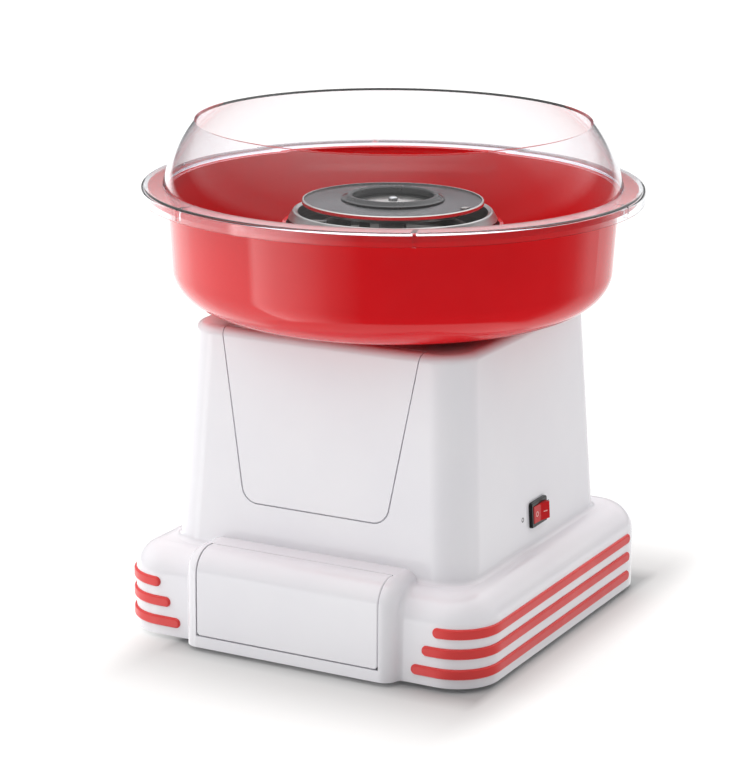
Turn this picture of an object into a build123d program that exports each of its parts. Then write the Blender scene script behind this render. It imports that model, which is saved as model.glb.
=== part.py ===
"""Table-top cotton candy machine: one white housing, a red floss bowl with a clear rim guard,
a spinning head over a heater pan, a belt-free motor drive, a rocker switch and a storage drawer.

Millimetres, +Z up, front towards -Y, origin on the floor at the centre of the machine.
"""
from math import cos
from math import radians
from math import sin
import os

from build123d import *

# ---------------------------------------------------------------- driving dimensions
WALL = 2.5

# Base of the housing, with the drawer box on its front.
BASE_X = 231.0
BASE_Y = 234.0
BASE_CORNER = 26.0
BASE_BOTTOM = 2.5
BASE_TOP = 53.0
BASE_EDGE = 17.0

# Tapered tower that rises from the base.
TOWER_FOOT_Z = 50.0
TOWER_FOOT_X = 192.2
TOWER_FOOT_Y = 190.4
TOWER_FOOT_CORNER = 21.0
TOWER_TOP_Z = 181.0
TOWER_TOP_X = 176.4
TOWER_TOP_Y = 175.0
TOWER_TOP_CORNER = 20.0
TOWER_EDGE = 5.0
DECK_THICK = 4.5
COVE = 3.0

# Drawer box on the front of the base.
BOX_HALF_X = 67.0
BOX_FRONT_Y = -126.0
BOX_BACK_Y = -90.0
BOX_TOP_Z = 59.5
BOX_ROLL = 14.0
BOX_SIDE_ROUND = 8.0
DRAWER_HALF_X = 58.0
DRAWER_BOTTOM_Z = 9.7
DRAWER_REAR_Y = -108.4
DRAWER_GAP = 0.6
DRAWER_EDGE_R = 0.8
TRAY_HALF_X = 54.0
TRAY_FLOOR_Z = 12.0
TRAY_TOP_Z = 45.0
TRAY_REAR_Y = -32.0
TRAY_WALL = 2.0

# Raised trim stripes, three a side.
STRIPE_HEIGHT = 6.0
STRIPE_PROUD = 1.3
STRIPE_DEPTH = 1.0
STRIPE_REAR_Y = 91.0
STRIPES = {"bottom": (10.8, 74.5), "middle": (22.6, 81.0), "top": (34.0, 87.5)}

# Trapezoid front panel, let into the tower's front face and top edge.
PANEL_BOTTOM_Z = 82.6
PANEL_BOTTOM_HALF_X = 45.2
PANEL_TOP_HALF_X = 62.6
PANEL_CORNER = 10.0
PANEL_REAR_Y = -80.0
PANEL_THICK = 2.1
PANEL_GROOVE = 0.8
PANEL_FRONT_WALL = 4.6

# Floss bowl, lathe-shaped about the drive axis.
BOWL_RIM_R = 141.0
BOWL_RIM_Z = 254.2
BOWL_MOUTH_R = 130.2
BOWL_SIDE_R = 127.6
BOWL_SIDE_Z = 209.0
BOWL_FLOOR_R = 97.0
BOWL_FLOOR_Z = 185.0
BOWL_WALL = 2.2
BOWL_HUB_R = 61.8
BOWL_HUB_Z = 232.6
BOWL_FOOT_R = 79.0
BOWL_FOOT_HEIGHT = 11.6

# Clear rim guard.
GUARD_R = 145.0
GUARD_FLANGE_Z = 256.4
GUARD_SKIRT_Z = 248.6
GUARD_BASE_R = 132.6
GUARD_MID_R = 124.9
GUARD_MID_Z = 277.3
GUARD_TOP_R = 114.1
GUARD_TOP_Z = 293.1
GUARD_WALL = 1.8
GUARD_CLIPS = 6
GUARD_CLIP_START = 2.0

# Support column, heater pan and heating element.
COLUMN_R = 50.0
COLUMN_FLANGE_R = 60.0
COLUMN_WALL = 3.0
COLUMN_TOP_Z = 216.0
SPOKE_ANGLES = (90.0, 210.0, 330.0)
PAN_WALL_R = 56.2
PAN_LIP_R = 60.5
PAN_LIP_Z = 235.0
PAN_TOP_R = 57.4
PAN_TOP_Z = 240.5
PAN_SHEET = 1.2
ELEMENT_R = 42.0
ELEMENT_TUBE = 3.2
ELEMENT_Z = 228.0
ELEMENT_GAP_ANGLE = 150.0
ELEMENT_GAP_HALF = 9.0
CLIP_ANGLES = (80.0, 200.0, 320.0)

# Drive line.
SHAFT_R = 3.0
SHAFT_BOTTOM_Z = 102.0
SHAFT_TOP_Z = 236.0
MOTOR_R = 18.5
MOTOR_BOTTOM_Z = 122.0
MOTOR_TOP_Z = 168.0
MOTOR_PLATE_THICK = 2.0
MOTOR_BOSS = 46.0
FAN_R = 24.0
FAN_BLADES = 7
FAN_Z = 104.0
FAN_HEIGHT = 8.0
MOTOR_BOSSES = [(x, y) for x in (-MOTOR_BOSS, MOTOR_BOSS) for y in (-MOTOR_BOSS, MOTOR_BOSS)]
MOTOR_SCREWS = [(-12.5, 0.0), (12.5, 0.0)]
BEARING_R = 8.5
BEARING_WIDTH = 6.0
BEARING_Z = 206.0
PAN_SCREW_R = 31.0
INSULATOR_R = 4.4
ELEMENT_LEG_Z = 204.0
CLIP_INNER_R = 39.0
CLIP_OUTER_R = 54.9
COLUMN_SCREW_R = 55.0
COLUMN_FLANGE = 3.0

# Spinner head.
HEAD_R = 52.6
HEAD_RIM_Z = 246.6
HEAD_OPENING_R = 23.6
HEAD_HUB_R = 8.0
HEAD_HUB_BOTTOM_Z = 228.0
HEAD_HUB_TOP_Z = 243.2
PIN_Z = 231.0
PIN_R = 1.0
PIN_HALF_LENGTH = 6.5
HEAD_SCREW_R = 1.5
HEAD_SCREW_SEAT_Z = 246.0
CATCH_R = 48.4
CATCH_ANGLE = -5.0

# Rocker switch on the tower's right face.
SWITCH_Y = 1.0
SWITCH_Z = 72.0
BEZEL_LONG = 21.0
BEZEL_WIDE = 15.0
BEZEL_PROUD = 2.0
SWITCH_BODY_LONG = 19.0
SWITCH_BODY_WIDE = 12.8
SWITCH_BODY_DEEP = 14.0
ROCKER_R = 8.3
ROCKER_HALF_WIDE = 5.0
ROCKER_PIVOT = 0.6
ROCKER_TILT = 10.0
TRUNNION_R = 1.2

# Bottom plate, feet and fasteners.
PLATE_BOTTOM_Z = 3.5
PLATE_THICK = 2.5
FOOT_POSITIONS = {
    "front_left": (-92.0, -90.0),
    "front_right": (92.0, -90.0),
    "rear_left": (-92.0, 90.0),
    "rear_right": (92.0, 90.0),
}
FOOT_R = 10.0
BASE_SCREWS = [(x, y) for x in (-100.0, 100.0) for y in (-55.0, 55.0)] + [(-36.0, 104.0), (36.0, 104.0)]
SCREW_R = 1.45
SCREW_HEAD_R = 3.2

# Cord gland in the rear wall and the terminal block inside.
GLAND_X = -62.0
GLAND_Z = 22.0
GLAND_R = 5.5
VENT_SLOTS = 9
VENT_Z = 90.0

PLATE_TOP_Z = PLATE_BOTTOM_Z + PLATE_THICK
DECK_UNDER_Z = TOWER_TOP_Z - DECK_THICK
MOTOR_PLATE_TOP_Z = MOTOR_TOP_Z + MOTOR_PLATE_THICK
TOWER_SLOPE_X = (TOWER_FOOT_X - TOWER_TOP_X) / 2 / (TOWER_TOP_Z - TOWER_FOOT_Z)

os.makedirs("parts", exist_ok=True)


def save(part, name):
    """Label a finished piece and write it to its own STEP file."""
    part.label = name
    export_step(part, f"parts/{name}.step")


def tower_half_x(z):
    """Half width of the tower's outside at height z."""
    return TOWER_FOOT_X / 2 - TOWER_SLOPE_X * (z - TOWER_FOOT_Z)


def tower_block(inset, top_z, front_inset=0.0):
    """Tapered tower solid, drawn in by inset all round and by front_inset more at the front."""
    with BuildPart() as block:
        with BuildSketch(Plane.XY.offset(TOWER_FOOT_Z)):
            with Locations((0, front_inset / 2)):
                RectangleRounded(
                    TOWER_FOOT_X - 2 * inset,
                    TOWER_FOOT_Y - 2 * inset - front_inset,
                    TOWER_FOOT_CORNER - inset,
                )
        with BuildSketch(Plane.XY.offset(TOWER_TOP_Z)):
            with Locations((0, front_inset / 2)):
                RectangleRounded(
                    TOWER_TOP_X - 2 * inset,
                    TOWER_TOP_Y - 2 * inset - front_inset,
                    TOWER_TOP_CORNER - inset,
                )
        loft()
        split(bisect_by=Plane.XY.offset(top_z), keep=Keep.BOTTOM)
        fillet(block.faces().sort_by(Axis.Z)[-1].edges(), TOWER_EDGE - min(inset, WALL))
    return block.part


def base_block(inset, top_z):
    """Rounded base solid with its soft top edge, drawn in by inset."""
    with BuildPart() as block:
        with BuildSketch(Plane.XY.offset(BASE_BOTTOM)):
            RectangleRounded(BASE_X - 2 * inset, BASE_Y - 2 * inset, BASE_CORNER - inset)
        extrude(amount=top_z - BASE_BOTTOM)
        fillet(block.faces().sort_by(Axis.Z)[-1].edges(), BASE_EDGE - inset)
    return block.part


def box_block(inset, back_y):
    """Drawer box solid with its rolled top front edge and rounded sides, drawn in by inset."""
    front = BOX_FRONT_Y + inset
    top = BOX_TOP_Z - inset
    roll = BOX_ROLL - inset
    with BuildPart() as block:
        with BuildSketch(Plane.YZ):
            with BuildLine():
                Line((front, BASE_BOTTOM), (front, top - roll))
                RadiusArc((front, top - roll), (front + roll, top), roll)
                Polyline(
                    (front + roll, top),
                    (back_y, top),
                    (back_y, BASE_BOTTOM),
                    (front, BASE_BOTTOM),
                )
            make_face()
        extrude(amount=BOX_HALF_X - inset, both=True)
        side_edges = (
            block.faces().filter_by(Axis.X).edges().filter_by_position(Axis.Y, front - 1, back_y - 0.01)
        )
        fillet(
            side_edges.filter_by(lambda e: e.center().Z > BASE_BOTTOM + 0.01),
            BOX_SIDE_ROUND - inset,
        )
    return block.part


def turned(points):
    """Solid of revolution about the drive axis from a closed outline of (radius, height) points."""
    with BuildPart() as piece:
        with BuildSketch(Plane.XZ):
            with BuildLine():
                Polyline(*points, close=True)
            make_face()
        revolve(axis=Axis.Z)
    return piece.part


def screws(positions, seat_z, upward, head_height, length, head_radius=SCREW_HEAD_R):
    """Cross-head screws whose heads bear on seat_z and whose shanks point up or down."""
    way = 1 if upward else -1
    with BuildPart() as group:
        with BuildSketch(Plane.XY.offset(seat_z)):
            with Locations(*positions):
                Circle(head_radius)
        extrude(amount=-way * head_height)
        with BuildSketch(Plane.XY.offset(seat_z)):
            with Locations(*positions):
                Circle(SCREW_R)
        extrude(amount=way * length)
        with BuildSketch(Plane.XY.offset(seat_z - way * head_height)):
            with Locations(*positions):
                SlotOverall(head_radius * 1.4, 0.7)
                SlotOverall(head_radius * 1.4, 0.7, rotation=90)
        extrude(amount=way * head_height * 0.5, mode=Mode.SUBTRACT)
    return group.part


def polar(radius, angles):
    """Points on a circle about the drive axis, one for each angle in degrees."""
    return [(radius * cos(radians(a)), radius * sin(radians(a))) for a in angles]


column_screw_spots = polar(COLUMN_SCREW_R, (0, 90, 180, 270))
pan_screw_spots = polar(PAN_SCREW_R, SPOKE_ANGLES)
element_leg_spots = polar(
    ELEMENT_R, (ELEMENT_GAP_ANGLE - ELEMENT_GAP_HALF, ELEMENT_GAP_ANGLE + ELEMENT_GAP_HALF)
)

# ---------------------------------------------------------------- trim stripes
def stripe(centre_z, tip_x):
    """Half-round trim stripe that wraps the right front corner and runs back along the side."""
    with BuildPart() as strip:
        with BuildSketch(Plane.XY.offset(centre_z - STRIPE_HEIGHT / 2)):
            RectangleRounded(
                BASE_X + 2 * STRIPE_PROUD, BASE_Y + 2 * STRIPE_PROUD, BASE_CORNER + STRIPE_PROUD
            )
            RectangleRounded(
                BASE_X - 2 * STRIPE_DEPTH,
                BASE_Y - 2 * STRIPE_DEPTH,
                BASE_CORNER - STRIPE_DEPTH,
                mode=Mode.SUBTRACT,
            )
            with Locations((tip_x, STRIPE_REAR_Y)):
                Rectangle(BASE_X, BASE_Y * 2, align=(Align.MIN, Align.MAX), mode=Mode.INTERSECT)
        extrude(amount=STRIPE_HEIGHT)
        tip = strip.faces().filter_by(Axis.X).sort_by(Axis.X)[0]
        tail = strip.faces().filter_by(Axis.Y).sort_by(Axis.Y)[-1]
        rounds = tip.edges().filter_by(Axis.Y) + tail.edges().filter_by(Axis.X)
        fillet(rounds, STRIPE_HEIGHT / 2 - 0.05)
        outer = strip.edges().filter_by(
            lambda e: max(abs(e.center().X) - BASE_X / 2, abs(e.center().Y) - BASE_Y / 2) > 0.9 * STRIPE_PROUD
        )
        corner = strip.edges().filter_by(GeomType.CIRCLE).filter_by(
            lambda e: e.radius > BASE_CORNER + 0.5 * STRIPE_PROUD
        )
        fillet(outer + corner, STRIPE_PROUD - 0.1)
    return strip.part


stripe_parts = {}
for level, (stripe_z, stripe_tip) in STRIPES.items():
    right = stripe(stripe_z, stripe_tip)
    stripe_parts[f"stripe_right_{level}"] = right
    stripe_parts[f"stripe_left_{level}"] = mirror(right, about=Plane.YZ)

# ---------------------------------------------------------------- front panel
def panel_prism(margin):
    """Trapezoid prism over the panel's outline, grown by margin."""
    with BuildPart() as prism:
        with BuildSketch(Plane.XZ.offset(-PANEL_REAR_Y - margin)):
            with BuildLine():
                Polyline(
                    (-PANEL_BOTTOM_HALF_X - margin, PANEL_BOTTOM_Z - margin),
                    (PANEL_BOTTOM_HALF_X + margin, PANEL_BOTTOM_Z - margin),
                    (PANEL_TOP_HALF_X + margin, TOWER_TOP_Z + margin),
                    (-PANEL_TOP_HALF_X - margin, TOWER_TOP_Z + margin),
                    close=True,
                )
            make_face()
        extrude(amount=BASE_Y / 2 + PANEL_REAR_Y)
        bottom_corners = prism.edges().filter_by(Axis.Y).group_by(Axis.Z)[0]
        fillet(bottom_corners, PANEL_CORNER + margin)
    return prism.part


with BuildPart() as front_panel:
    add(tower_block(0, TOWER_TOP_Z))
    add(tower_block(PANEL_THICK, TOWER_TOP_Z - PANEL_THICK), mode=Mode.SUBTRACT)
    add(panel_prism(0), mode=Mode.INTERSECT)

# ---------------------------------------------------------------- housing
with BuildPart() as panel_recess:
    add(tower_block(-1, TOWER_TOP_Z))
    add(tower_block(PANEL_THICK, TOWER_TOP_Z - PANEL_THICK), mode=Mode.SUBTRACT)
    add(panel_prism(PANEL_GROOVE), mode=Mode.INTERSECT)

switch_normal = Vector(1, 0, TOWER_SLOPE_X).normalized()
switch_plane = Plane(
    origin=(tower_half_x(SWITCH_Z), SWITCH_Y, SWITCH_Z), x_dir=(0, 1, 0), z_dir=switch_normal
)

with BuildPart() as housing:
    add(base_block(0, BASE_TOP))
    add(tower_block(0, TOWER_TOP_Z))
    add(box_block(0, BOX_BACK_Y))
    # Soft cove where the tower and the drawer box meet the top of the base.
    seam = housing.edges().filter_by_position(Axis.Z, BASE_TOP - 0.01, BASE_TOP + 0.01)
    fillet(
        seam.filter_by(lambda e: abs(e.center().X) < TOWER_FOOT_X / 2 + 1 and e.center().Y > BOX_BACK_Y - 8),
        COVE,
    )
    # Hollow inside, open at the bottom.
    add(base_block(WALL, BASE_TOP - WALL), mode=Mode.SUBTRACT)
    add(box_block(WALL, BOX_BACK_Y), mode=Mode.SUBTRACT)
    add(tower_block(WALL, DECK_UNDER_Z, PANEL_FRONT_WALL - WALL), mode=Mode.SUBTRACT)
    add(panel_recess.part, mode=Mode.SUBTRACT)
    for piece in stripe_parts.values():
        add(piece, mode=Mode.SUBTRACT)
    # Drawer opening: through the front and over the rolled edge.
    with BuildSketch(Plane.XZ.offset(-DRAWER_REAR_Y - DRAWER_GAP)):
        with Locations((0, DRAWER_BOTTOM_Z - DRAWER_GAP)):
            Rectangle(2 * (DRAWER_HALF_X + DRAWER_GAP), BOX_TOP_Z, align=(Align.CENTER, Align.MIN))
    extrude(amount=30, mode=Mode.SUBTRACT)
    # Raised ring that locates the bowl, and the deck opening for the drive line and the wires.
    with BuildSketch(Plane.XY.offset(TOWER_TOP_Z)):
        Circle(BOWL_FOOT_R - 1.0)
        Circle(BOWL_FOOT_R - 3.5, mode=Mode.SUBTRACT)
    extrude(amount=3.0)
    with BuildSketch(Plane.XY.offset(DECK_UNDER_Z - 1)):
        Circle(COLUMN_R - COLUMN_WALL - 1)
    extrude(amount=DECK_THICK + 2, mode=Mode.SUBTRACT)
    # Bosses for the bottom plate screws and for the motor plate.
    with BuildSketch(Plane.XY.offset(PLATE_TOP_Z)):
        with Locations(*BASE_SCREWS):
            Circle(4.0)
    extrude(amount=BASE_TOP - WALL + 0.3 - PLATE_TOP_Z)
    with BuildSketch(Plane.XY.offset(PLATE_TOP_Z)):
        with Locations(*BASE_SCREWS):
            Circle(SCREW_R + 0.02)
    extrude(amount=14, mode=Mode.SUBTRACT)
    with BuildSketch(Plane.XY.offset(MOTOR_PLATE_TOP_Z)):
        with Locations(*MOTOR_BOSSES):
            Circle(4.5)
    extrude(amount=DECK_UNDER_Z - MOTOR_PLATE_TOP_Z)
    with BuildSketch(Plane.XY.offset(MOTOR_PLATE_TOP_Z)):
        with Locations(*MOTOR_BOSSES):
            Circle(SCREW_R + 0.02)
    extrude(amount=8, mode=Mode.SUBTRACT)
    with BuildSketch(Plane.XY.offset(DECK_UNDER_Z)):
        with Locations(*column_screw_spots):
            Circle(SCREW_R + 0.02)
    extrude(amount=DECK_THICK, mode=Mode.SUBTRACT)
    # Switch cut-out in the right face, gland hole and cooling slots at the back.
    with BuildSketch(switch_plane.offset(3)):
        Rectangle(SWITCH_BODY_LONG + 0.2, SWITCH_BODY_WIDE + 0.2)
    extrude(amount=-8, mode=Mode.SUBTRACT)
    with BuildSketch(Plane.XZ.offset(-BASE_Y / 2 - 1)):
        with Locations((GLAND_X, GLAND_Z)):
            Circle(GLAND_R)
    extrude(amount=6, mode=Mode.SUBTRACT)
    with BuildSketch(Plane.XZ.offset(-TOWER_FOOT_Y / 2 - 1)):
        with Locations((0, VENT_Z)):
            with GridLocations(8.0, 1, VENT_SLOTS, 1):
                SlotOverall(30.0, 3.0, rotation=90)
    extrude(amount=9, mode=Mode.SUBTRACT)

# ---------------------------------------------------------------- bottom plate, feet, screws
with BuildPart() as bottom_plate:
    with BuildSketch(Plane.XY.offset(PLATE_BOTTOM_Z)):
        RectangleRounded(BASE_X - 2 * WALL - 0.6, BASE_Y - 2 * WALL - 0.6, BASE_CORNER - WALL - 0.3)
        with Locations((0, BOX_FRONT_Y + WALL + 0.3)):
            RectangleRounded(
                2 * (BOX_HALF_X - WALL - 0.3),
                40.0,
                BOX_SIDE_ROUND - WALL,
                align=(Align.CENTER, Align.MIN),
            )
    extrude(amount=PLATE_THICK)
    with BuildSketch(Plane.XY.offset(PLATE_BOTTOM_Z)):
        with Locations(*BASE_SCREWS):
            Circle(SCREW_HEAD_R + 0.2)
    extrude(amount=1.4, mode=Mode.SUBTRACT)
    with BuildSketch(Plane.XY.offset(PLATE_BOTTOM_Z)):
        with Locations(*BASE_SCREWS):
            Circle(SCREW_R + 0.25)
        with Locations(*FOOT_POSITIONS.values()):
            Circle(3.1)
        with Locations((0, 20)):
            with GridLocations(9.0, 1, VENT_SLOTS, 1):
                SlotOverall(60.0, 3.5, rotation=90)
    extrude(amount=PLATE_THICK, mode=Mode.SUBTRACT)

base_screws = screws(BASE_SCREWS, PLATE_BOTTOM_Z + 1.4, True, 1.3, 12.0)

foot_shape = turned([
    (0, 0),
    (FOOT_R - 1, 0),
    (FOOT_R, 1),
    (FOOT_R, PLATE_BOTTOM_Z),
    (3.0, PLATE_BOTTOM_Z),
    (3.0, PLATE_TOP_Z),
    (4.4, PLATE_TOP_Z),
    (3.0, PLATE_TOP_Z + 2.2),
    (0, PLATE_TOP_Z + 2.2),
])

# ---------------------------------------------------------------- drawer and its runners
def on_drawer_outline(edge):
    """True on the drawer front's cut sides, leaving out its rear face and its bends."""
    middle = edge @ 0.5
    bend = abs(middle.X) < 1 and middle.Z > DRAWER_BOTTOM_Z + 1
    corner_end = abs(edge.tangent_at(0.5).Y) > 0.99 and middle.Z < BOX_TOP_Z - 1
    return middle.Y < DRAWER_REAR_Y - 0.01 and not bend and not corner_end


with BuildPart() as drawer_front:
    add(box_block(0, BOX_BACK_Y))
    with BuildSketch(Plane.XZ.offset(-DRAWER_REAR_Y)):
        with Locations((0, DRAWER_BOTTOM_Z)):
            Rectangle(2 * DRAWER_HALF_X, BOX_TOP_Z, align=(Align.CENTER, Align.MIN))
    extrude(amount=30, mode=Mode.INTERSECT)
    fillet(drawer_front.edges().filter_by(Axis.Y).group_by(Axis.Z)[0], 2.4)
    fillet(drawer_front.edges().filter_by(on_drawer_outline), DRAWER_EDGE_R)
    add(box_block(WALL, BOX_BACK_Y), mode=Mode.SUBTRACT)

with BuildPart() as drawer_tray:
    with BuildSketch(Plane.XY.offset(TRAY_FLOOR_Z)):
        with Locations((0, TRAY_REAR_Y)):
            Rectangle(
                2 * TRAY_HALF_X, TRAY_REAR_Y - BOX_FRONT_Y - WALL, align=(Align.CENTER, Align.MAX)
            )
    extrude(amount=TRAY_TOP_Z - TRAY_FLOOR_Z)
    fillet(drawer_tray.edges().filter_by(Axis.Z), 4.0)
    fillet(drawer_tray.faces().sort_by(Axis.Z)[0].edges(), 1.5)
    offset(amount=-TRAY_WALL, openings=drawer_tray.faces().sort_by(Axis.Z)[-1])
    # Low divider across the tray.
    with BuildSketch(Plane.XY.offset(TRAY_FLOOR_Z + TRAY_WALL / 2)):
        with Locations((0, TRAY_REAR_Y - 30)):
            Rectangle(2 * TRAY_HALF_X - TRAY_WALL, 1.8)
    extrude(amount=12.0)


def drawer_rail(side):
    """L-shaped runner under and beside the tray, on the left (-1) or the right (1)."""
    outer = side * (TRAY_HALF_X + 3.4)
    guide = side * (TRAY_HALF_X + 0.6)
    toe = side * (TRAY_HALF_X - 12.0)
    with BuildPart() as rail:
        with BuildSketch(Plane.XZ.offset(-TRAY_REAR_Y)):
            with BuildLine():
                Polyline(
                    (toe, PLATE_TOP_Z),
                    (outer, PLATE_TOP_Z),
                    (outer, 26.0),
                    (guide, 26.0),
                    (guide, TRAY_FLOOR_Z - 0.1),
                    (toe, TRAY_FLOOR_Z - 0.1),
                    close=True,
                )
            make_face()
        extrude(amount=80.0)
    return rail.part


# ---------------------------------------------------------------- column and heater pan
with BuildPart() as support_column:
    with BuildSketch(Plane.XY.offset(TOWER_TOP_Z)):
        Circle(COLUMN_FLANGE_R)
    extrude(amount=COLUMN_FLANGE)
    with BuildSketch(Plane.XY.offset(TOWER_TOP_Z)):
        Circle(COLUMN_R)
    extrude(amount=COLUMN_TOP_Z - TOWER_TOP_Z)
    with BuildSketch(Plane.XY.offset(TOWER_TOP_Z)):
        Circle(COLUMN_R - COLUMN_WALL)
    extrude(amount=COLUMN_TOP_Z - TOWER_TOP_Z, mode=Mode.SUBTRACT)
    # Three spokes and the bearing boss under the pan.
    with BuildSketch(Plane.XY.offset(BEARING_Z)):
        Circle(13.0)
        for angle in SPOKE_ANGLES:
            with Locations(polar(COLUMN_R / 2, [angle])[0]):
                Rectangle(COLUMN_R - COLUMN_WALL, 9.0, rotation=angle)
    extrude(amount=COLUMN_TOP_Z - BEARING_Z)
    with BuildSketch(Plane.XY.offset(BEARING_Z)):
        Circle(BEARING_R)
    extrude(amount=BEARING_WIDTH, mode=Mode.SUBTRACT)
    with BuildSketch(Plane.XY.offset(BEARING_Z)):
        Circle(SHAFT_R + 1.5)
    extrude(amount=COLUMN_TOP_Z - BEARING_Z, mode=Mode.SUBTRACT)
    with BuildSketch(Plane.XY.offset(TOWER_TOP_Z)):
        with Locations(*column_screw_spots):
            Circle(SCREW_R + 0.25)
    extrude(amount=COLUMN_FLANGE, mode=Mode.SUBTRACT)
    with BuildSketch(Plane.XY.offset(COLUMN_TOP_Z)):
        with Locations(*pan_screw_spots):
            Circle(SCREW_R + 0.02)
    extrude(amount=-9.0, mode=Mode.SUBTRACT)

column_screws = screws(column_screw_spots, TOWER_TOP_Z + COLUMN_FLANGE, False, 2.0, 7.0, 3.0)
pan_screws = screws(pan_screw_spots, COLUMN_TOP_Z + PAN_SHEET, False, 1.6, 8.5, 3.0)

with BuildPart() as heater_pan:
    add(
        turned([
            (7.0, COLUMN_TOP_Z),
            (PAN_WALL_R - 4, COLUMN_TOP_Z),
            (PAN_WALL_R, COLUMN_TOP_Z + 4),
            (PAN_WALL_R, PAN_TOP_Z - 2.4),
            (PAN_LIP_R - PAN_SHEET, PAN_LIP_Z),
            (PAN_LIP_R, PAN_LIP_Z + 0.6),
            (PAN_TOP_R + 0.5, PAN_TOP_Z - 0.5),
            (PAN_TOP_R - 0.6, PAN_TOP_Z),
            (PAN_WALL_R - PAN_SHEET, PAN_TOP_Z - 1.0),
            (PAN_WALL_R - PAN_SHEET, COLUMN_TOP_Z + 4.5),
            (PAN_WALL_R - 4.5, COLUMN_TOP_Z + PAN_SHEET),
            (7.0, COLUMN_TOP_Z + PAN_SHEET),
        ])
    )
    with BuildSketch(Plane.XY.offset(COLUMN_TOP_Z)):
        with Locations(*pan_screw_spots):
            Circle(SCREW_R + 0.25)
        with Locations(*element_leg_spots):
            Circle(INSULATOR_R)
    extrude(amount=PAN_SHEET, mode=Mode.SUBTRACT)

# ---------------------------------------------------------------- heating element and its fittings
with BuildPart() as heating_element:
    with BuildSketch(Plane.XZ.rotated((0, 0, ELEMENT_GAP_ANGLE + ELEMENT_GAP_HALF))):
        with Locations((ELEMENT_R, ELEMENT_Z)):
            Circle(ELEMENT_TUBE)
    revolve(axis=Axis.Z, revolution_arc=360 - 2 * ELEMENT_GAP_HALF)
    with Locations(*[(x, y, ELEMENT_Z) for x, y in element_leg_spots]):
        Sphere(ELEMENT_TUBE)
    with BuildSketch(Plane.XY.offset(ELEMENT_Z)):
        with Locations(*element_leg_spots):
            Circle(ELEMENT_TUBE)
    extrude(amount=ELEMENT_LEG_Z - ELEMENT_Z)

with BuildPart() as element_insulators:
    with BuildSketch(Plane.XY.offset(COLUMN_TOP_Z - 3)):
        with Locations(*element_leg_spots):
            Circle(INSULATOR_R)
            Circle(ELEMENT_TUBE, mode=Mode.SUBTRACT)
    extrude(amount=7.0)

with BuildPart() as element_clips:
    with BuildSketch(Plane.XY.offset(ELEMENT_Z + ELEMENT_TUBE)):
        for angle in CLIP_ANGLES:
            with Locations(polar((CLIP_INNER_R + CLIP_OUTER_R) / 2, [angle])[0]):
                Rectangle(CLIP_OUTER_R - CLIP_INNER_R, 5.0, rotation=angle)
    extrude(amount=1.0)

with BuildPart() as thermal_cutout:
    with BuildSketch(Plane.XY.offset(COLUMN_TOP_Z)):
        with Locations(*polar(28.0, [30.0])):
            Circle(7.0)
    extrude(amount=-7.0)
    with BuildSketch(Plane.XY.offset(COLUMN_TOP_Z - 7.0)):
        with Locations(*polar(28.0, [30.0])):
            with GridLocations(7.0, 1, 2, 1):
                Rectangle(4.0, 0.8)
    extrude(amount=-6.0)

# ---------------------------------------------------------------- motor and rotor
with BuildPart() as motor_plate:
    with BuildSketch(Plane.XY.offset(MOTOR_TOP_Z)):
        RectangleRounded(2 * MOTOR_BOSS + 16, 2 * MOTOR_BOSS + 16, 6)
        Circle(7.0, mode=Mode.SUBTRACT)
        with Locations(*MOTOR_BOSSES, *MOTOR_SCREWS):
            Circle(SCREW_R + 0.25, mode=Mode.SUBTRACT)
    extrude(amount=MOTOR_PLATE_THICK)

motor_plate_screws = screws(MOTOR_BOSSES, MOTOR_TOP_Z, True, 2.0, 9.0, 3.0)
motor_screws = screws(MOTOR_SCREWS, MOTOR_PLATE_TOP_Z, False, 1.8, 7.0, 2.8)

with BuildPart() as motor_can:
    with BuildSketch(Plane.XY.offset(MOTOR_BOTTOM_Z)):
        Circle(MOTOR_R)
        Rectangle(2 * MOTOR_R, 31.0, mode=Mode.INTERSECT)
    extrude(amount=MOTOR_TOP_Z - MOTOR_BOTTOM_Z)
    with BuildSketch(Plane.XY.offset(MOTOR_TOP_Z)):
        Circle(6.5)
    extrude(amount=MOTOR_PLATE_THICK + 1.5)
    with BuildSketch(Plane.XY.offset(MOTOR_TOP_Z)):
        with Locations(*MOTOR_SCREWS):
            Circle(SCREW_R + 0.02)
    extrude(amount=-6.0, mode=Mode.SUBTRACT)
    with BuildSketch(Plane.XY.offset(MOTOR_BOTTOM_Z)):
        Circle(SHAFT_R + 0.08)
    extrude(amount=MOTOR_TOP_Z - MOTOR_BOTTOM_Z + 5, mode=Mode.SUBTRACT)

with BuildPart() as motor_end_cap:
    with BuildSketch(Plane.XY.offset(MOTOR_BOTTOM_Z)):
        Circle(MOTOR_R - 0.8)
        Circle(SHAFT_R + 0.08, mode=Mode.SUBTRACT)
    extrude(amount=-5.0)
    with BuildSketch(Plane.XY.offset(MOTOR_BOTTOM_Z - 5.0)):
        with GridLocations(22.0, 1, 2, 1):
            Rectangle(0.8, 5.0)
    extrude(amount=-4.0)

with BuildPart() as drive_shaft:
    with BuildSketch(Plane.XY.offset(SHAFT_BOTTOM_Z)):
        Circle(SHAFT_R)
    extrude(amount=SHAFT_TOP_Z - SHAFT_BOTTOM_Z)
    chamfer(drive_shaft.faces().filter_by(Axis.Z).edges(), 0.4)
    with BuildSketch(Plane.YZ):
        with Locations((0, PIN_Z)):
            Circle(PIN_R)
    extrude(amount=SHAFT_R + 1, both=True, mode=Mode.SUBTRACT)

with BuildPart() as drive_pin:
    with BuildSketch(Plane.YZ):
        with Locations((0, PIN_Z)):
            Circle(PIN_R)
    extrude(amount=PIN_HALF_LENGTH, both=True)

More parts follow.
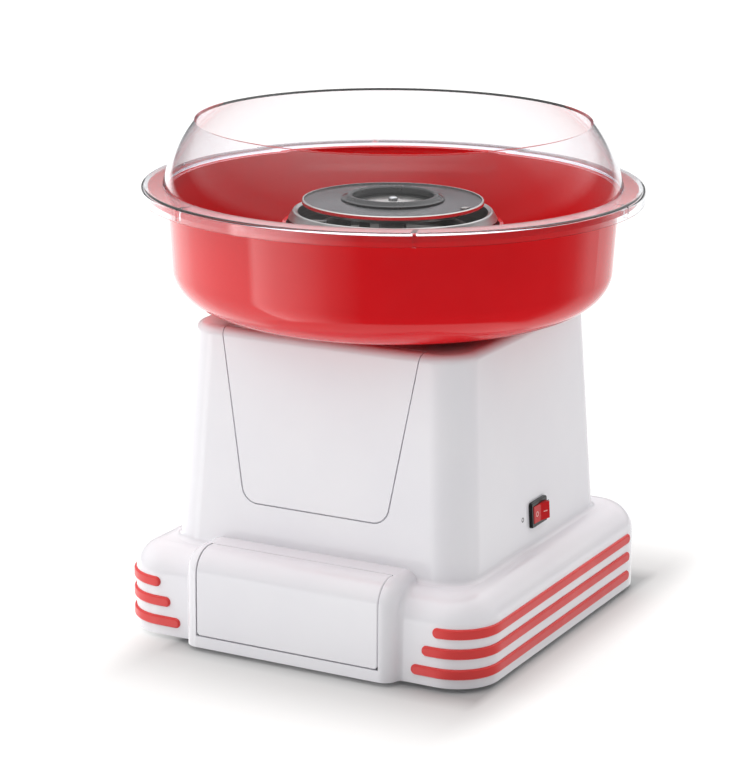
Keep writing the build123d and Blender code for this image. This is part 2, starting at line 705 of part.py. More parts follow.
with BuildPart() as cooling_fan:
    with BuildSketch(Plane.XY.offset(FAN_Z)):
        Circle(7.0)
        Circle(SHAFT_R, mode=Mode.SUBTRACT)
    extrude(amount=FAN_HEIGHT)
    for blade in range(FAN_BLADES):
        turn = 360 / FAN_BLADES * blade
        blade_plane = Plane.YZ.rotated((0, 0, turn)).offset(6.5)
        with BuildSketch(blade_plane):
            with Locations((0, FAN_Z + FAN_HEIGHT / 2)):
                Rectangle(9.0, 1.4, rotation=38)
        extrude(amount=FAN_R - 6.5)

with BuildPart() as shaft_bearing:
    with BuildSketch(Plane.XY.offset(BEARING_Z)):
        Circle(BEARING_R)
        Circle(SHAFT_R + 0.04, mode=Mode.SUBTRACT)
    extrude(amount=BEARING_WIDTH)

# ---------------------------------------------------------------- spinner head
with BuildPart() as head_dish:
    add(
        turned([
            (0, HEAD_HUB_TOP_Z),
            (24.0, HEAD_HUB_TOP_Z),
            (30.0, HEAD_HUB_TOP_Z - 0.6),
            (HEAD_R - 6.6, HEAD_RIM_Z - 5.2),
            (HEAD_R, HEAD_RIM_Z - 2.2),
            (HEAD_R, HEAD_RIM_Z - 0.4),
            (HEAD_R - 0.4, HEAD_RIM_Z),
            (HEAD_R - 1.2, HEAD_RIM_Z),
            (HEAD_R - 1.2, HEAD_RIM_Z - 1.9),
            (HEAD_R - 5.6, HEAD_RIM_Z - 3.4),
            (30.0, HEAD_HUB_TOP_Z + 0.8),
            (24.0, HEAD_HUB_TOP_Z + 1.4),
            (5.0, HEAD_SCREW_SEAT_Z),
            (0, HEAD_SCREW_SEAT_Z),
        ])
    )
    with BuildSketch(Plane.XY.offset(HEAD_HUB_TOP_Z)):
        Circle(HEAD_SCREW_R)
    extrude(amount=HEAD_SCREW_SEAT_Z - HEAD_HUB_TOP_Z, mode=Mode.SUBTRACT)

with BuildPart() as head_hub:
    with BuildSketch(Plane.XY.offset(HEAD_HUB_BOTTOM_Z)):
        Circle(HEAD_HUB_R)
    extrude(amount=HEAD_HUB_TOP_Z - HEAD_HUB_BOTTOM_Z)
    with BuildSketch(Plane.XY.offset(HEAD_HUB_BOTTOM_Z)):
        Circle(SHAFT_R + 0.08)
    extrude(amount=SHAFT_TOP_Z + 0.3 - HEAD_HUB_BOTTOM_Z, mode=Mode.SUBTRACT)
    # Open slot that drops over the drive pin.
    with BuildSketch(Plane.XY.offset(HEAD_HUB_BOTTOM_Z)):
        Rectangle(2 * HEAD_HUB_R + 1, 2 * PIN_R + 0.3)
    extrude(amount=PIN_Z + PIN_R + 0.2 - HEAD_HUB_BOTTOM_Z, mode=Mode.SUBTRACT)
    with BuildSketch(Plane.XY.offset(HEAD_HUB_TOP_Z)):
        Circle(HEAD_SCREW_R)
    extrude(amount=-5.0, mode=Mode.SUBTRACT)

with BuildPart() as head_screw:
    with BuildSketch(Plane.XY.offset(HEAD_SCREW_SEAT_Z)):
        Circle(HEAD_SCREW_R)
    extrude(amount=-7.5)
    with BuildSketch(Plane.XY.offset(HEAD_SCREW_SEAT_Z)):
        Circle(2.7)
    extrude(amount=2.0)
    fillet(head_screw.faces().sort_by(Axis.Z)[-1].edges(), 1.4)

with BuildPart() as head_cover:
    add(
        turned([
            (27.4, HEAD_RIM_Z - 0.8),
            (HEAD_R - 1.4, HEAD_RIM_Z - 1.8),
            (HEAD_R - 1.4, HEAD_RIM_Z - 0.8),
            (27.4, HEAD_RIM_Z + 0.2),
        ])
    )

with BuildPart() as head_lip:
    add(
        turned([
            (24.2, HEAD_RIM_Z - 1.0),
            (HEAD_OPENING_R, HEAD_RIM_Z + 2.2),
            (24.6, HEAD_RIM_Z + 3.0),
            (26.2, HEAD_RIM_Z + 3.0),
            (28.6, HEAD_RIM_Z + 1.4),
            (30.0, HEAD_RIM_Z + 0.9),
            (30.0, HEAD_RIM_Z + 0.2),
            (27.2, HEAD_RIM_Z + 0.2),
            (27.2, HEAD_RIM_Z - 1.0),
        ])
    )

with BuildPart() as head_catch:
    with BuildSketch(Plane.XY.offset(HEAD_RIM_Z - 0.6)):
        with Locations(*polar(CATCH_R, [CATCH_ANGLE])):
            Rectangle(3.2, 5.0, rotation=CATCH_ANGLE)
    extrude(amount=1.0)

# ---------------------------------------------------------------- floss bowl
with BuildPart() as floss_bowl:
    with BuildSketch(Plane.XZ):
        with BuildLine():
            inner_mouth = BOWL_MOUTH_R - BOWL_WALL
            inner_side = BOWL_SIDE_R - BOWL_WALL
            hub_reach = BOWL_FLOOR_R - BOWL_HUB_R
            Polyline(
                (inner_side, BOWL_SIDE_Z),
                (inner_mouth, BOWL_RIM_Z),
                (BOWL_RIM_R, BOWL_RIM_Z),
                (BOWL_RIM_R, BOWL_RIM_Z - 3.6),
                (BOWL_RIM_R - 1.6, BOWL_RIM_Z - 3.6),
                (BOWL_RIM_R - 1.6, BOWL_RIM_Z - BOWL_WALL),
                (BOWL_MOUTH_R, BOWL_RIM_Z - BOWL_WALL),
                (BOWL_SIDE_R, BOWL_SIDE_Z),
            )
            EllipticalCenterArc(
                (BOWL_FLOOR_R, BOWL_SIDE_Z),
                BOWL_SIDE_R - BOWL_FLOOR_R,
                BOWL_SIDE_Z - BOWL_FLOOR_Z,
                start_angle=270,
                arc_size=90,
            )
            EllipticalCenterArc(
                (BOWL_FLOOR_R, BOWL_HUB_Z), hub_reach, BOWL_HUB_Z - BOWL_FLOOR_Z, start_angle=180, arc_size=90
            )
            Line((BOWL_HUB_R, BOWL_HUB_Z), (BOWL_HUB_R + BOWL_WALL, BOWL_HUB_Z))
            EllipticalCenterArc(
                (BOWL_FLOOR_R, BOWL_HUB_Z),
                hub_reach - BOWL_WALL,
                BOWL_HUB_Z - BOWL_FLOOR_Z - BOWL_WALL,
                start_angle=180,
                arc_size=90,
            )
            EllipticalCenterArc(
                (BOWL_FLOOR_R, BOWL_SIDE_Z),
                inner_side - BOWL_FLOOR_R,
                BOWL_SIDE_Z - BOWL_FLOOR_Z - BOWL_WALL,
                start_angle=270,
                arc_size=90,
            )
        make_face()
    revolve(axis=Axis.Z)
    # Foot ring that stands on the deck around the locating ring.
    with BuildSketch(Plane.XZ):
        with Locations((BOWL_FOOT_R, TOWER_TOP_Z)):
            Rectangle(BOWL_WALL, BOWL_FOOT_HEIGHT, align=(Align.MIN, Align.MIN))
    revolve(axis=Axis.Z)

# ---------------------------------------------------------------- clear rim guard
with BuildPart() as rim_guard:
    with BuildSketch(Plane.XZ):
        with BuildLine():
            FilletPolyline(
                (GUARD_R, GUARD_SKIRT_Z),
                (GUARD_R, GUARD_FLANGE_Z),
                (GUARD_BASE_R, GUARD_FLANGE_Z),
                radius=2.0,
            )
            ThreePointArc(
                (GUARD_BASE_R, GUARD_FLANGE_Z), (GUARD_MID_R, GUARD_MID_Z), (GUARD_TOP_R, GUARD_TOP_Z)
            )
            offset(amount=GUARD_WALL, side=Side.LEFT)
        make_face()
    revolve(axis=Axis.Z)
    # Ribs inside the skirt that centre the guard on the bowl's rim.
    with BuildSketch(Plane.XY.offset(GUARD_SKIRT_Z + 0.4)):
        with PolarLocations(GUARD_R - 2.6, GUARD_CLIPS, start_angle=GUARD_CLIP_START):
            Rectangle(2.0, 2.4)
    extrude(amount=GUARD_FLANGE_Z - GUARD_WALL + 0.2 - GUARD_SKIRT_Z - 0.4)

# ---------------------------------------------------------------- rocker switch
def rocker_point(radius, angle):
    """Point of the rocker's outline about its pivot, tilted to the off position."""
    turn = radians(angle + ROCKER_TILT)
    return (radius * cos(turn), ROCKER_PIVOT + radius * sin(turn))


rocker_plane = Plane(
    origin=switch_plane.origin, x_dir=(0, 1, 0), z_dir=(switch_normal.Z, 0, -switch_normal.X)
)

with BuildPart() as switch_rocker:
    with BuildSketch(rocker_plane):
        with BuildLine():
            Polyline(rocker_point(ROCKER_R, 22), rocker_point(2.2, 90), rocker_point(ROCKER_R, 158))
            ThreePointArc(
                rocker_point(ROCKER_R, 158), rocker_point(ROCKER_R, 180), rocker_point(ROCKER_R, 205)
            )
            Polyline(rocker_point(ROCKER_R, 205), rocker_point(6.0, 270), rocker_point(ROCKER_R, 335))
            ThreePointArc(
                rocker_point(ROCKER_R, 335), rocker_point(ROCKER_R, 0), rocker_point(ROCKER_R, 22)
            )
        make_face()
    extrude(amount=ROCKER_HALF_WIDE, both=True)
    with BuildSketch(rocker_plane):
        with Locations((0, ROCKER_PIVOT)):
            Circle(TRUNNION_R)
    extrude(amount=ROCKER_HALF_WIDE + 1.0, both=True)

with BuildPart() as switch_body:
    with BuildSketch(switch_plane):
        RectangleRounded(BEZEL_LONG, BEZEL_WIDE, 1.5)
    extrude(amount=BEZEL_PROUD)
    fillet(switch_body.faces().filter_by(switch_plane).sort_by(Axis.X)[-1].edges(), 0.6)
    with BuildSketch(switch_plane):
        Rectangle(SWITCH_BODY_LONG, SWITCH_BODY_WIDE)
    extrude(amount=-SWITCH_BODY_DEEP)
    with BuildSketch(switch_plane.offset(BEZEL_PROUD)):
        Rectangle(2 * ROCKER_R + 0.4, 2 * ROCKER_HALF_WIDE + 0.4)
    extrude(amount=-BEZEL_PROUD - 6.5, mode=Mode.SUBTRACT)
    with BuildSketch(rocker_plane):
        with Locations((0, ROCKER_PIVOT)):
            Circle(TRUNNION_R + 0.06)
    extrude(amount=ROCKER_HALF_WIDE + 1.1, both=True, mode=Mode.SUBTRACT)

with BuildPart() as switch_terminals:
    with BuildSketch(switch_plane.offset(-SWITCH_BODY_DEEP)):
        with GridLocations(7.0, 1, 2, 1):
            Rectangle(0.8, 4.8)
    extrude(amount=-8.0)

# ---------------------------------------------------------------- cord gland and terminal block
with BuildPart() as cord_gland:
    with BuildSketch(Plane.XZ.offset(-BASE_Y / 2)):
        with Locations((GLAND_X, GLAND_Z)):
            Circle(8.5)
    extrude(amount=-3.0)
    fillet(cord_gland.faces().sort_by(Axis.Y)[-1].edges(), 1.2)
    with BuildSketch(Plane.XZ.offset(-BASE_Y / 2)):
        with Locations((GLAND_X, GLAND_Z)):
            Circle(GLAND_R - 0.1)
    extrude(amount=WALL)
    with BuildSketch(Plane.XZ.offset(-BASE_Y / 2 + WALL)):
        with Locations((GLAND_X, GLAND_Z)):
            Circle(7.5)
    extrude(amount=2.5)
    with BuildSketch(Plane.XZ.offset(-BASE_Y / 2 - 5)):
        with Locations((GLAND_X, GLAND_Z)):
            Circle(3.6)
    extrude(amount=12.0, mode=Mode.SUBTRACT)

with BuildPart() as terminal_block:
    with BuildSketch(Plane.XY.offset(PLATE_TOP_Z)):
        with Locations((-62, 62)):
            Rectangle(34.0, 18.0)
    extrude(amount=8.0)
    with BuildSketch(Plane.XY.offset(PLATE_TOP_Z + 8.0)):
        with Locations((-62, 62)):
            Rectangle(34.0, 10.0)
    extrude(amount=6.0)
    with BuildSketch(Plane.XY.offset(PLATE_TOP_Z + 14.0)):
        with Locations((-62, 62)):
            with GridLocations(11.0, 1, 3, 1):
                Circle(2.0)
    extrude(amount=-5.0, mode=Mode.SUBTRACT)

# ---------------------------------------------------------------- write every piece
pieces = {
    "housing": housing.part,
    "front_panel": front_panel.part,
    "bottom_plate": bottom_plate.part,
    "base_screws": base_screws,
    "drawer_front": drawer_front.part,
    "drawer_tray": drawer_tray.part,
    "drawer_rail_left": drawer_rail(-1),
    "drawer_rail_right": drawer_rail(1),
    "support_column": support_column.part,
    "column_screws": column_screws,
    "pan_screws": pan_screws,
    "heater_pan": heater_pan.part,
    "heating_element": heating_element.part,
    "element_insulators": element_insulators.part,
    "element_clips": element_clips.part,
    "thermal_cutout": thermal_cutout.part,
    "motor_plate": motor_plate.part,
    "motor_plate_screws": motor_plate_screws,
    "motor_screws": motor_screws,
    "motor_can": motor_can.part,
    "motor_end_cap": motor_end_cap.part,
    "drive_shaft": drive_shaft.part,
    "drive_pin": drive_pin.part,
    "cooling_fan": cooling_fan.part,
    "shaft_bearing": shaft_bearing.part,
    "head_dish": head_dish.part,
    "head_hub": head_hub.part,
    "head_screw": head_screw.part,
    "head_cover": head_cover.part,
    "head_lip": head_lip.part,
    "head_catch": head_catch.part,
    "floss_bowl": floss_bowl.part,
    "rim_guard": rim_guard.part,
    "switch_rocker": switch_rocker.part,
    "switch_body": switch_body.part,
    "switch_terminals": switch_terminals.part,
    "cord_gland": cord_gland.part,
    "terminal_block": terminal_block.part,
}
pieces.update(stripe_parts)
for corner_name, (foot_x, foot_y) in FOOT_POSITIONS.items():
    pieces[f"foot_{corner_name}"] = Pos(foot_x, foot_y, 0) * foot_shape

for piece_name, piece in pieces.items():
    save(piece, piece_name)
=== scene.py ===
"""Cotton candy machine: finishes, fine pieces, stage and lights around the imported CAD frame."""

import logging
import math
from dataclasses import dataclass, field
from enum import Enum

import bmesh
import bpy
from mathutils import Matrix, Vector
from mathutils.bvhtree import BVHTree


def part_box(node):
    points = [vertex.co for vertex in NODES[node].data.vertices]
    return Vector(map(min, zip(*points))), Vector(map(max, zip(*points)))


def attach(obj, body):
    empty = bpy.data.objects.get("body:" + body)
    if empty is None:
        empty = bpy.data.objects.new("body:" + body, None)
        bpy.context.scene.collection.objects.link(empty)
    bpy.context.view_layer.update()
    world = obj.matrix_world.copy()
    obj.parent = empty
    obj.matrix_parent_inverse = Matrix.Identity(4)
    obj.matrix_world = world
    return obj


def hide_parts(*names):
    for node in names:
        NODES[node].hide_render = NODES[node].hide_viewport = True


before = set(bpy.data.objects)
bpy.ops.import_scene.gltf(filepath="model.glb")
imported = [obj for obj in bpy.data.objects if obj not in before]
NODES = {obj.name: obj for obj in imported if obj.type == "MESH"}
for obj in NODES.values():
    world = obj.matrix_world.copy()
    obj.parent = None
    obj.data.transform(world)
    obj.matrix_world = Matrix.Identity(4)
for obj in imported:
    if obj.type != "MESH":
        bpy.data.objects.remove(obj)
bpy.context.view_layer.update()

Colour = tuple[float, float, float]
Point = tuple[float, float, float]
Span = tuple[float, float]
Stops = tuple[tuple[float, float], ...]

NOISE_SPAN: Span = (0.3, 0.7)
BLEND_SPAN: Span = (0.35, 0.65)
MERGE_DISTANCE = 1e-6
SCREW_SETS = ("base_screws", "column_screws", "pan_screws", "motor_plate_screws", "motor_screws")

logging.basicConfig(level=logging.INFO, format="%(message)s")
log = logging.getLogger("candy_machine")


def tone(red: int, green: int, blue: int) -> Colour:
    """Linear colour of a display colour.

    Args:
        red: Red, 0 to 255.
        green: Green, 0 to 255.
        blue: Blue, 0 to 255.

    Returns:
        The scene-linear colour.
    """
    def linear(value: int) -> float:
        """One channel, display to linear."""
        share = value / 255
        return share / 12.92 if share <= 0.04045 else ((share + 0.055) / 1.055) ** 2.4

    return linear(red), linear(green), linear(blue)


# ------------------------------------------------------------------ finishes
class Tree:
    """A material's node tree, with short calls for the nodes that the finishes share."""

    def __init__(self, owner: bpy.types.Material | bpy.types.World, place: str = "Object") -> None:
        """Empties the owner's tree.

        Args:
            owner: The material or world.
            place: The coordinates that its patterns read.
        """
        owner.use_nodes = True
        self.owner = owner
        self.nodes = owner.node_tree.nodes
        self.links = owner.node_tree.links
        self.nodes.clear()
        self.place = self.add("ShaderNodeTexCoord").outputs[place]

    @classmethod
    def named(cls, name: str) -> "Tree":
        """An empty tree of a new material of that name."""
        return cls(bpy.data.materials.new(name))

    def add(self, kind: str, **settings: object) -> bpy.types.Node:
        """A new node.

        Args:
            kind: The node's type.
            **settings: The node's own settings.

        Returns:
            The node.
        """
        node = self.nodes.new(kind)
        for name, value in settings.items():
            setattr(node, name, value)
        return node

    def noise(self, size: float, detail: float = 2.0, stretch: Point = (1, 1, 1),
              place: bpy.types.NodeSocket | None = None) -> bpy.types.NodeSocket:
        """Smooth random value over the surface.

        Args:
            size: Width of one patch in metres.
            detail: Octaves.
            stretch: How many times longer a patch is along each axis.
            place: Coordinates to read, Object coordinates if left out.

        Returns:
            The noise value's socket, 0 to 1.
        """
        mapping = self.add("ShaderNodeMapping")
        mapping.inputs["Scale"].default_value = tuple(1 / (size * s) for s in stretch)
        self.links.new(place or self.place, mapping.inputs["Vector"])
        noise = self.add("ShaderNodeTexNoise")
        noise.inputs["Scale"].default_value = 1.0
        noise.inputs["Detail"].default_value = detail
        self.links.new(mapping.outputs["Vector"], noise.inputs["Vector"])
        return noise.outputs["Fac"]

    def radius(self) -> bpy.types.NodeSocket:
        """Turns Object coordinates into distance and height.

        Returns:
            Coordinates whose X is the distance from the drive axis and whose Z is the height.
        """
        split = self.add("ShaderNodeSeparateXYZ")
        self.links.new(self.place, split.inputs[0])
        square = [self.math("MULTIPLY", split.outputs[i], split.outputs[i]) for i in (0, 1)]
        distance = self.math("SQRT", self.math("ADD", *square))
        joined = self.add("ShaderNodeCombineXYZ")
        self.links.new(distance, joined.inputs[0])
        self.links.new(split.outputs[2], joined.inputs[2])
        return joined.outputs[0]

    def math(self, operation: str, *values: bpy.types.NodeSocket | float) -> bpy.types.NodeSocket:
        """A Math node.

        Args:
            operation: The Math node's operation.
            *values: Sockets or numbers it reads.

        Returns:
            The result's socket.
        """
        node = self.add("ShaderNodeMath", operation=operation)
        for socket, value in zip(node.inputs, values):
            if isinstance(value, bpy.types.NodeSocket):
                self.links.new(value, socket)
            else:
                socket.default_value = value
        return node.outputs[0]

    def spread(self, value: bpy.types.NodeSocket, low: float, high: float) -> bpy.types.NodeSocket:
        """The middle of a noise's range, spread from low to high.

        Args:
            value: The noise.
            low: Result where the noise is low.
            high: Result where the noise is high.

        Returns:
            The result's socket.
        """
        node = self.add("ShaderNodeMapRange")
        names = ("From Min", "From Max", "To Min", "To Max")
        for name, number in zip(names, (*NOISE_SPAN, low, high)):
            node.inputs[name].default_value = number
        self.links.new(value, node.inputs["Value"])
        return node.outputs["Result"]

    def ramp(self, value: bpy.types.NodeSocket, *stops: tuple[float, Colour]) -> bpy.types.NodeSocket:
        """Colour picked along a ramp.

        Args:
            value: Where on the ramp.
            *stops: Position and colour of each stop, in order.

        Returns:
            The colour's socket.
        """
        node = self.add("ShaderNodeValToRGB")
        elements = node.color_ramp.elements
        while len(elements) < len(stops):
            elements.new(1.0)
        for element, (position, colour) in zip(elements, stops):
            element.position = position
            element.color = (*colour, 1.0)
        self.links.new(value, node.inputs["Fac"])
        return node.outputs["Color"]

    def mix(self, share: bpy.types.NodeSocket, first: bpy.types.NodeSocket | Colour,
            second: bpy.types.NodeSocket | Colour) -> bpy.types.NodeSocket:
        """A mix of two colours.

        Args:
            share: Share of the second, held between 0 and 1.
            first: The first colour.
            second: The second colour.

        Returns:
            The mixed colour's socket.
        """
        node = self.add("ShaderNodeMix", data_type="RGBA", clamp_factor=True)
        factor, *_, left, right = [s for s in node.inputs if s.enabled]
        self.links.new(share, factor)
        for socket, colour in ((left, first), (right, second)):
            if isinstance(colour, bpy.types.NodeSocket):
                self.links.new(colour, socket)
            else:
                socket.default_value = (*colour, 1.0)
        return next(s for s in node.outputs if s.enabled)

    def scaled(self, colour: bpy.types.NodeSocket, share: bpy.types.NodeSocket,
               times: float) -> bpy.types.NodeSocket:
        """One colour times another and a number.

        Args:
            colour: The first colour.
            share: The second colour.
            times: The number.

        Returns:
            The product.
        """
        product = self.add("ShaderNodeVectorMath", operation="MULTIPLY")
        self.links.new(colour, product.inputs[0])
        self.links.new(share, product.inputs[1])
        scale = self.add("ShaderNodeVectorMath", operation="SCALE")
        self.links.new(product.outputs[0], scale.inputs[0])
        scale.inputs["Scale"].default_value = times
        return scale.outputs[0]

    def bump(self, height: bpy.types.NodeSocket, depth: float,
             under: bpy.types.NodeSocket | None = None) -> bpy.types.NodeSocket:
        """Relief.

        Args:
            height: The relief, 0 to 1.
            depth: Its depth in metres.
            under: Relief that it lies on.

        Returns:
            The normal's socket.
        """
        node = self.add("ShaderNodeBump")
        node.inputs["Distance"].default_value = depth
        node.inputs["Strength"].default_value = 1.0
        self.links.new(height, node.inputs["Height"])
        if under is not None:
            self.links.new(under, node.inputs["Normal"])
        return node.outputs["Normal"]

    def shader(self, **values: object) -> bpy.types.Node:
        """A Principled shader.

        Args:
            **values: Socket names, spaces as underscores, with a number, colour or socket each.

        Returns:
            The shader's node.
        """
        node = self.add("ShaderNodeBsdfPrincipled")
        for name, value in values.items():
            socket = node.inputs[name.replace("_", " ")]
            if isinstance(value, bpy.types.NodeSocket):
                self.links.new(value, socket)
            elif isinstance(value, tuple):
                socket.default_value = (*value, 1.0)
            else:
                socket.default_value = value
        return node

    def done(self, shader: bpy.types.NodeSocket,
             volume: bpy.types.NodeSocket | None = None) -> bpy.types.Material:
        """Ends the tree in that shader.

        Args:
            shader: The surface.
            volume: The inside, where it has one.

        Returns:
            The material.
        """
        output = self.add("ShaderNodeOutputMaterial")
        self.links.new(shader, output.inputs["Surface"])
        if volume is not None:
            self.links.new(volume, output.inputs["Volume"])
        return self.owner


@dataclass(frozen=True)
class MouldedPlastic:
    """Injection-moulded plastic with a polished or satin skin."""

    name: str
    light: Colour
    dark: Colour
    roughness: Span
    peel: float = 4e-6
    peel_size: float = 0.007
    grain: float = 0.0
    grain_size: float = 0.0005
    flow_size: float = 0.06
    polish_size: float = 0.012
    index: float = 1.5

    def make(self) -> bpy.types.Material:
        """The material: soft flow shading, polish that varies, orange peel and a fine grain."""
        tree = Tree.named(self.name)
        colour = tree.ramp(tree.noise(self.flow_size, 3), *zip(BLEND_SPAN, (self.dark, self.light)))
        rough = tree.spread(tree.noise(self.polish_size, 4), *self.roughness)
        normal = tree.bump(tree.noise(self.peel_size, 1), self.peel)
        if self.grain:
            normal = tree.bump(tree.noise(self.grain_size, 1), self.grain, normal)
        body = tree.shader(Base_Color=colour, Roughness=rough, Normal=normal, IOR=self.index)
        return tree.done(body.outputs[0])


@dataclass(frozen=True)
class ClearPlastic:
    """Clear moulded plastic: bends light, mirrors at a slant, and casts hardly any shadow."""

    name: str
    tint: Colour
    shade: Colour
    absorbed: Colour
    density: float
    index: float = 1.49
    patch: float = 0.02
    roughness: Span = (0.0, 0.006)

    def make(self) -> bpy.types.Material:
        """The material: clear walls that tint only a long path through them."""
        tree = Tree.named(self.name)
        rough = tree.spread(tree.noise(self.patch, 3), *self.roughness)
        body = tree.shader(Base_Color=self.tint, Roughness=rough, IOR=self.index, Transmission_Weight=1.0)
        lamp = tree.add("ShaderNodeBsdfTransparent")
        lamp.inputs["Color"].default_value = (*self.shade, 1.0)
        path = tree.add("ShaderNodeLightPath")
        mix = tree.add("ShaderNodeMixShader")
        tree.links.new(path.outputs["Is Shadow Ray"], mix.inputs[0])
        tree.links.new(body.outputs[0], mix.inputs[1])
        tree.links.new(lamp.outputs[0], mix.inputs[2])
        depth = tree.add("ShaderNodeVolumeAbsorption")
        depth.inputs["Color"].default_value = (*self.absorbed, 1.0)
        depth.inputs["Density"].default_value = self.density
        return tree.done(mix.outputs[0], depth.outputs[0])


@dataclass(frozen=True)
class SpunMetal:
    """Sheet or bar metal turned on the drive axis, with fine rings left by the tool."""

    name: str
    light: Colour
    dark: Colour
    roughness: Span
    ring: float = 0.0006
    depth: float = 2e-6
    patch: float = 0.03
    shares: Span = (0.6, 0.4)

    def make(self) -> bpy.types.Material:
        """The material: rings in colour, polish and relief about the drive axis."""
        tree = Tree.named(self.name)
        rings = tree.noise(self.ring, 3, (1, 1, 2), tree.radius())
        parts = zip((rings, tree.noise(self.patch, 3)), self.shares)
        both = tree.math("ADD", *(tree.math("MULTIPLY", part, share) for part, share in parts))
        values = {
            "Base_Color": tree.ramp(both, *zip(BLEND_SPAN, (self.dark, self.light))),
            "Roughness": tree.spread(both, *self.roughness),
            "Normal": tree.bump(rings, self.depth),
            "Metallic": 1.0,
        }
        return tree.done(tree.shader(**values).outputs[0])


@dataclass(frozen=True)
class PlainMetal:
    """Drawn, rolled or plated metal."""

    name: str
    light: Colour
    dark: Colour
    roughness: Span
    patch: float = 0.01
    stretch: Point = (1, 1, 1)
    depth: float = 2e-6
    marks: int = 12

    def make(self) -> bpy.types.Material:
        """The material: clouded plating with fine drawn marks."""
        tree = Tree.named(self.name)
        cloud = tree.noise(self.patch, 4, self.stretch)
        values = {
            "Base_Color": tree.ramp(cloud, *zip(BLEND_SPAN, (self.dark, self.light))),
            "Roughness": tree.spread(cloud, *self.roughness),
            "Normal": tree.bump(tree.noise(self.patch / self.marks, 2, self.stretch), self.depth),
            "Metallic": 1.0,
        }
        return tree.done(tree.shader(**values).outputs[0])


@dataclass(frozen=True)
class DullSolid:
    """Rubber, ceramic, resin or print: no metal, no polish."""

    name: str
    light: Colour
    dark: Colour
    roughness: Span
    grain_size: float = 0.0008
    grain: float = 1.5e-5
    speck: int = 3
    index: float = 1.48

    def make(self) -> bpy.types.Material:
        """The material: speckled colour over an even grain."""
        tree = Tree.named(self.name)
        speck = tree.noise(self.grain_size * self.speck, 4)
        values = {
            "Base_Color": tree.ramp(speck, *zip(NOISE_SPAN, (self.dark, self.light))),
            "Roughness": tree.spread(speck, *self.roughness),
            "Normal": tree.bump(tree.noise(self.grain_size, 2), self.grain),
            "IOR": self.index,
        }
        return tree.done(tree.shader(**values).outputs[0])


@dataclass(frozen=True)
class LightTable:
    """White table top that glows evenly away from the machine; the glow is dimmed under and close round what
    stands on it, a painted contact shadow.
    """

    name: str
    skin: Colour
    glow: Colour
    middle: Span
    painted_shadow_core: Span
    reach: Span
    # painted contact shadow: share of the glow by distance from the machine's box, none at the box
    painted_shadow_levels: Stops = ((0.0, 0.0), (0.06, 0.14), (0.2, 0.42), (0.35, 0.52), (0.7, 0.8), (1.0, 1.0))
    patch: float = 0.02
    roughness: Span = (0.6, 0.7)
    specular: float = 0.2
    first_mirror: float = 0.5

    def make(self) -> bpy.types.Material:
        """The material: a matt skin over a glow, which mirrors do not see; the glow fades near the machine as
        painted shadow.
        """
        tree = Tree.named(self.name)
        split = tree.add("ShaderNodeSeparateXYZ")
        tree.links.new(tree.place, split.inputs[0])
        spans = []
        # Painted shadow: distance from a box round the machine, past its core half-size, over the falloff.
        for axis in (0, 1):
            aside = tree.math("SUBTRACT", split.outputs[axis], self.middle[axis])
            past = tree.math("SUBTRACT", tree.math("ABSOLUTE", aside), self.painted_shadow_core[axis])
            share = tree.math("DIVIDE", tree.math("MAXIMUM", past, 0.0), self.reach[axis])
            spans.append(tree.math("POWER", share, 2.0))
        away = tree.math("SQRT", tree.math("ADD", *spans))
        # The glow colour, scaled down near the machine into the painted shadow.
        stops = ((place, tuple(part * level for part in self.glow)) for place, level in self.painted_shadow_levels)
        glow = tree.ramp(away, *stops)
        rough = tree.spread(tree.noise(self.patch, 2), *self.roughness)
        skin = tree.shader(Base_Color=self.skin, Roughness=rough, Specular_IOR_Level=self.specular,
                           Emission_Color=glow, Emission_Strength=1.0)
        path = tree.add("ShaderNodeLightPath")
        mirrored = tree.math("GREATER_THAN", path.outputs["Glossy Depth"], self.first_mirror)
        surface = tree.add("ShaderNodeMixShader")
        tree.links.new(mirrored, surface.inputs[0])
        tree.links.new(skin.outputs[0], surface.inputs[1])
        tree.links.new(tree.add("ShaderNodeBsdfTransparent").outputs[0], surface.inputs[2])
        return tree.done(surface.outputs[0])


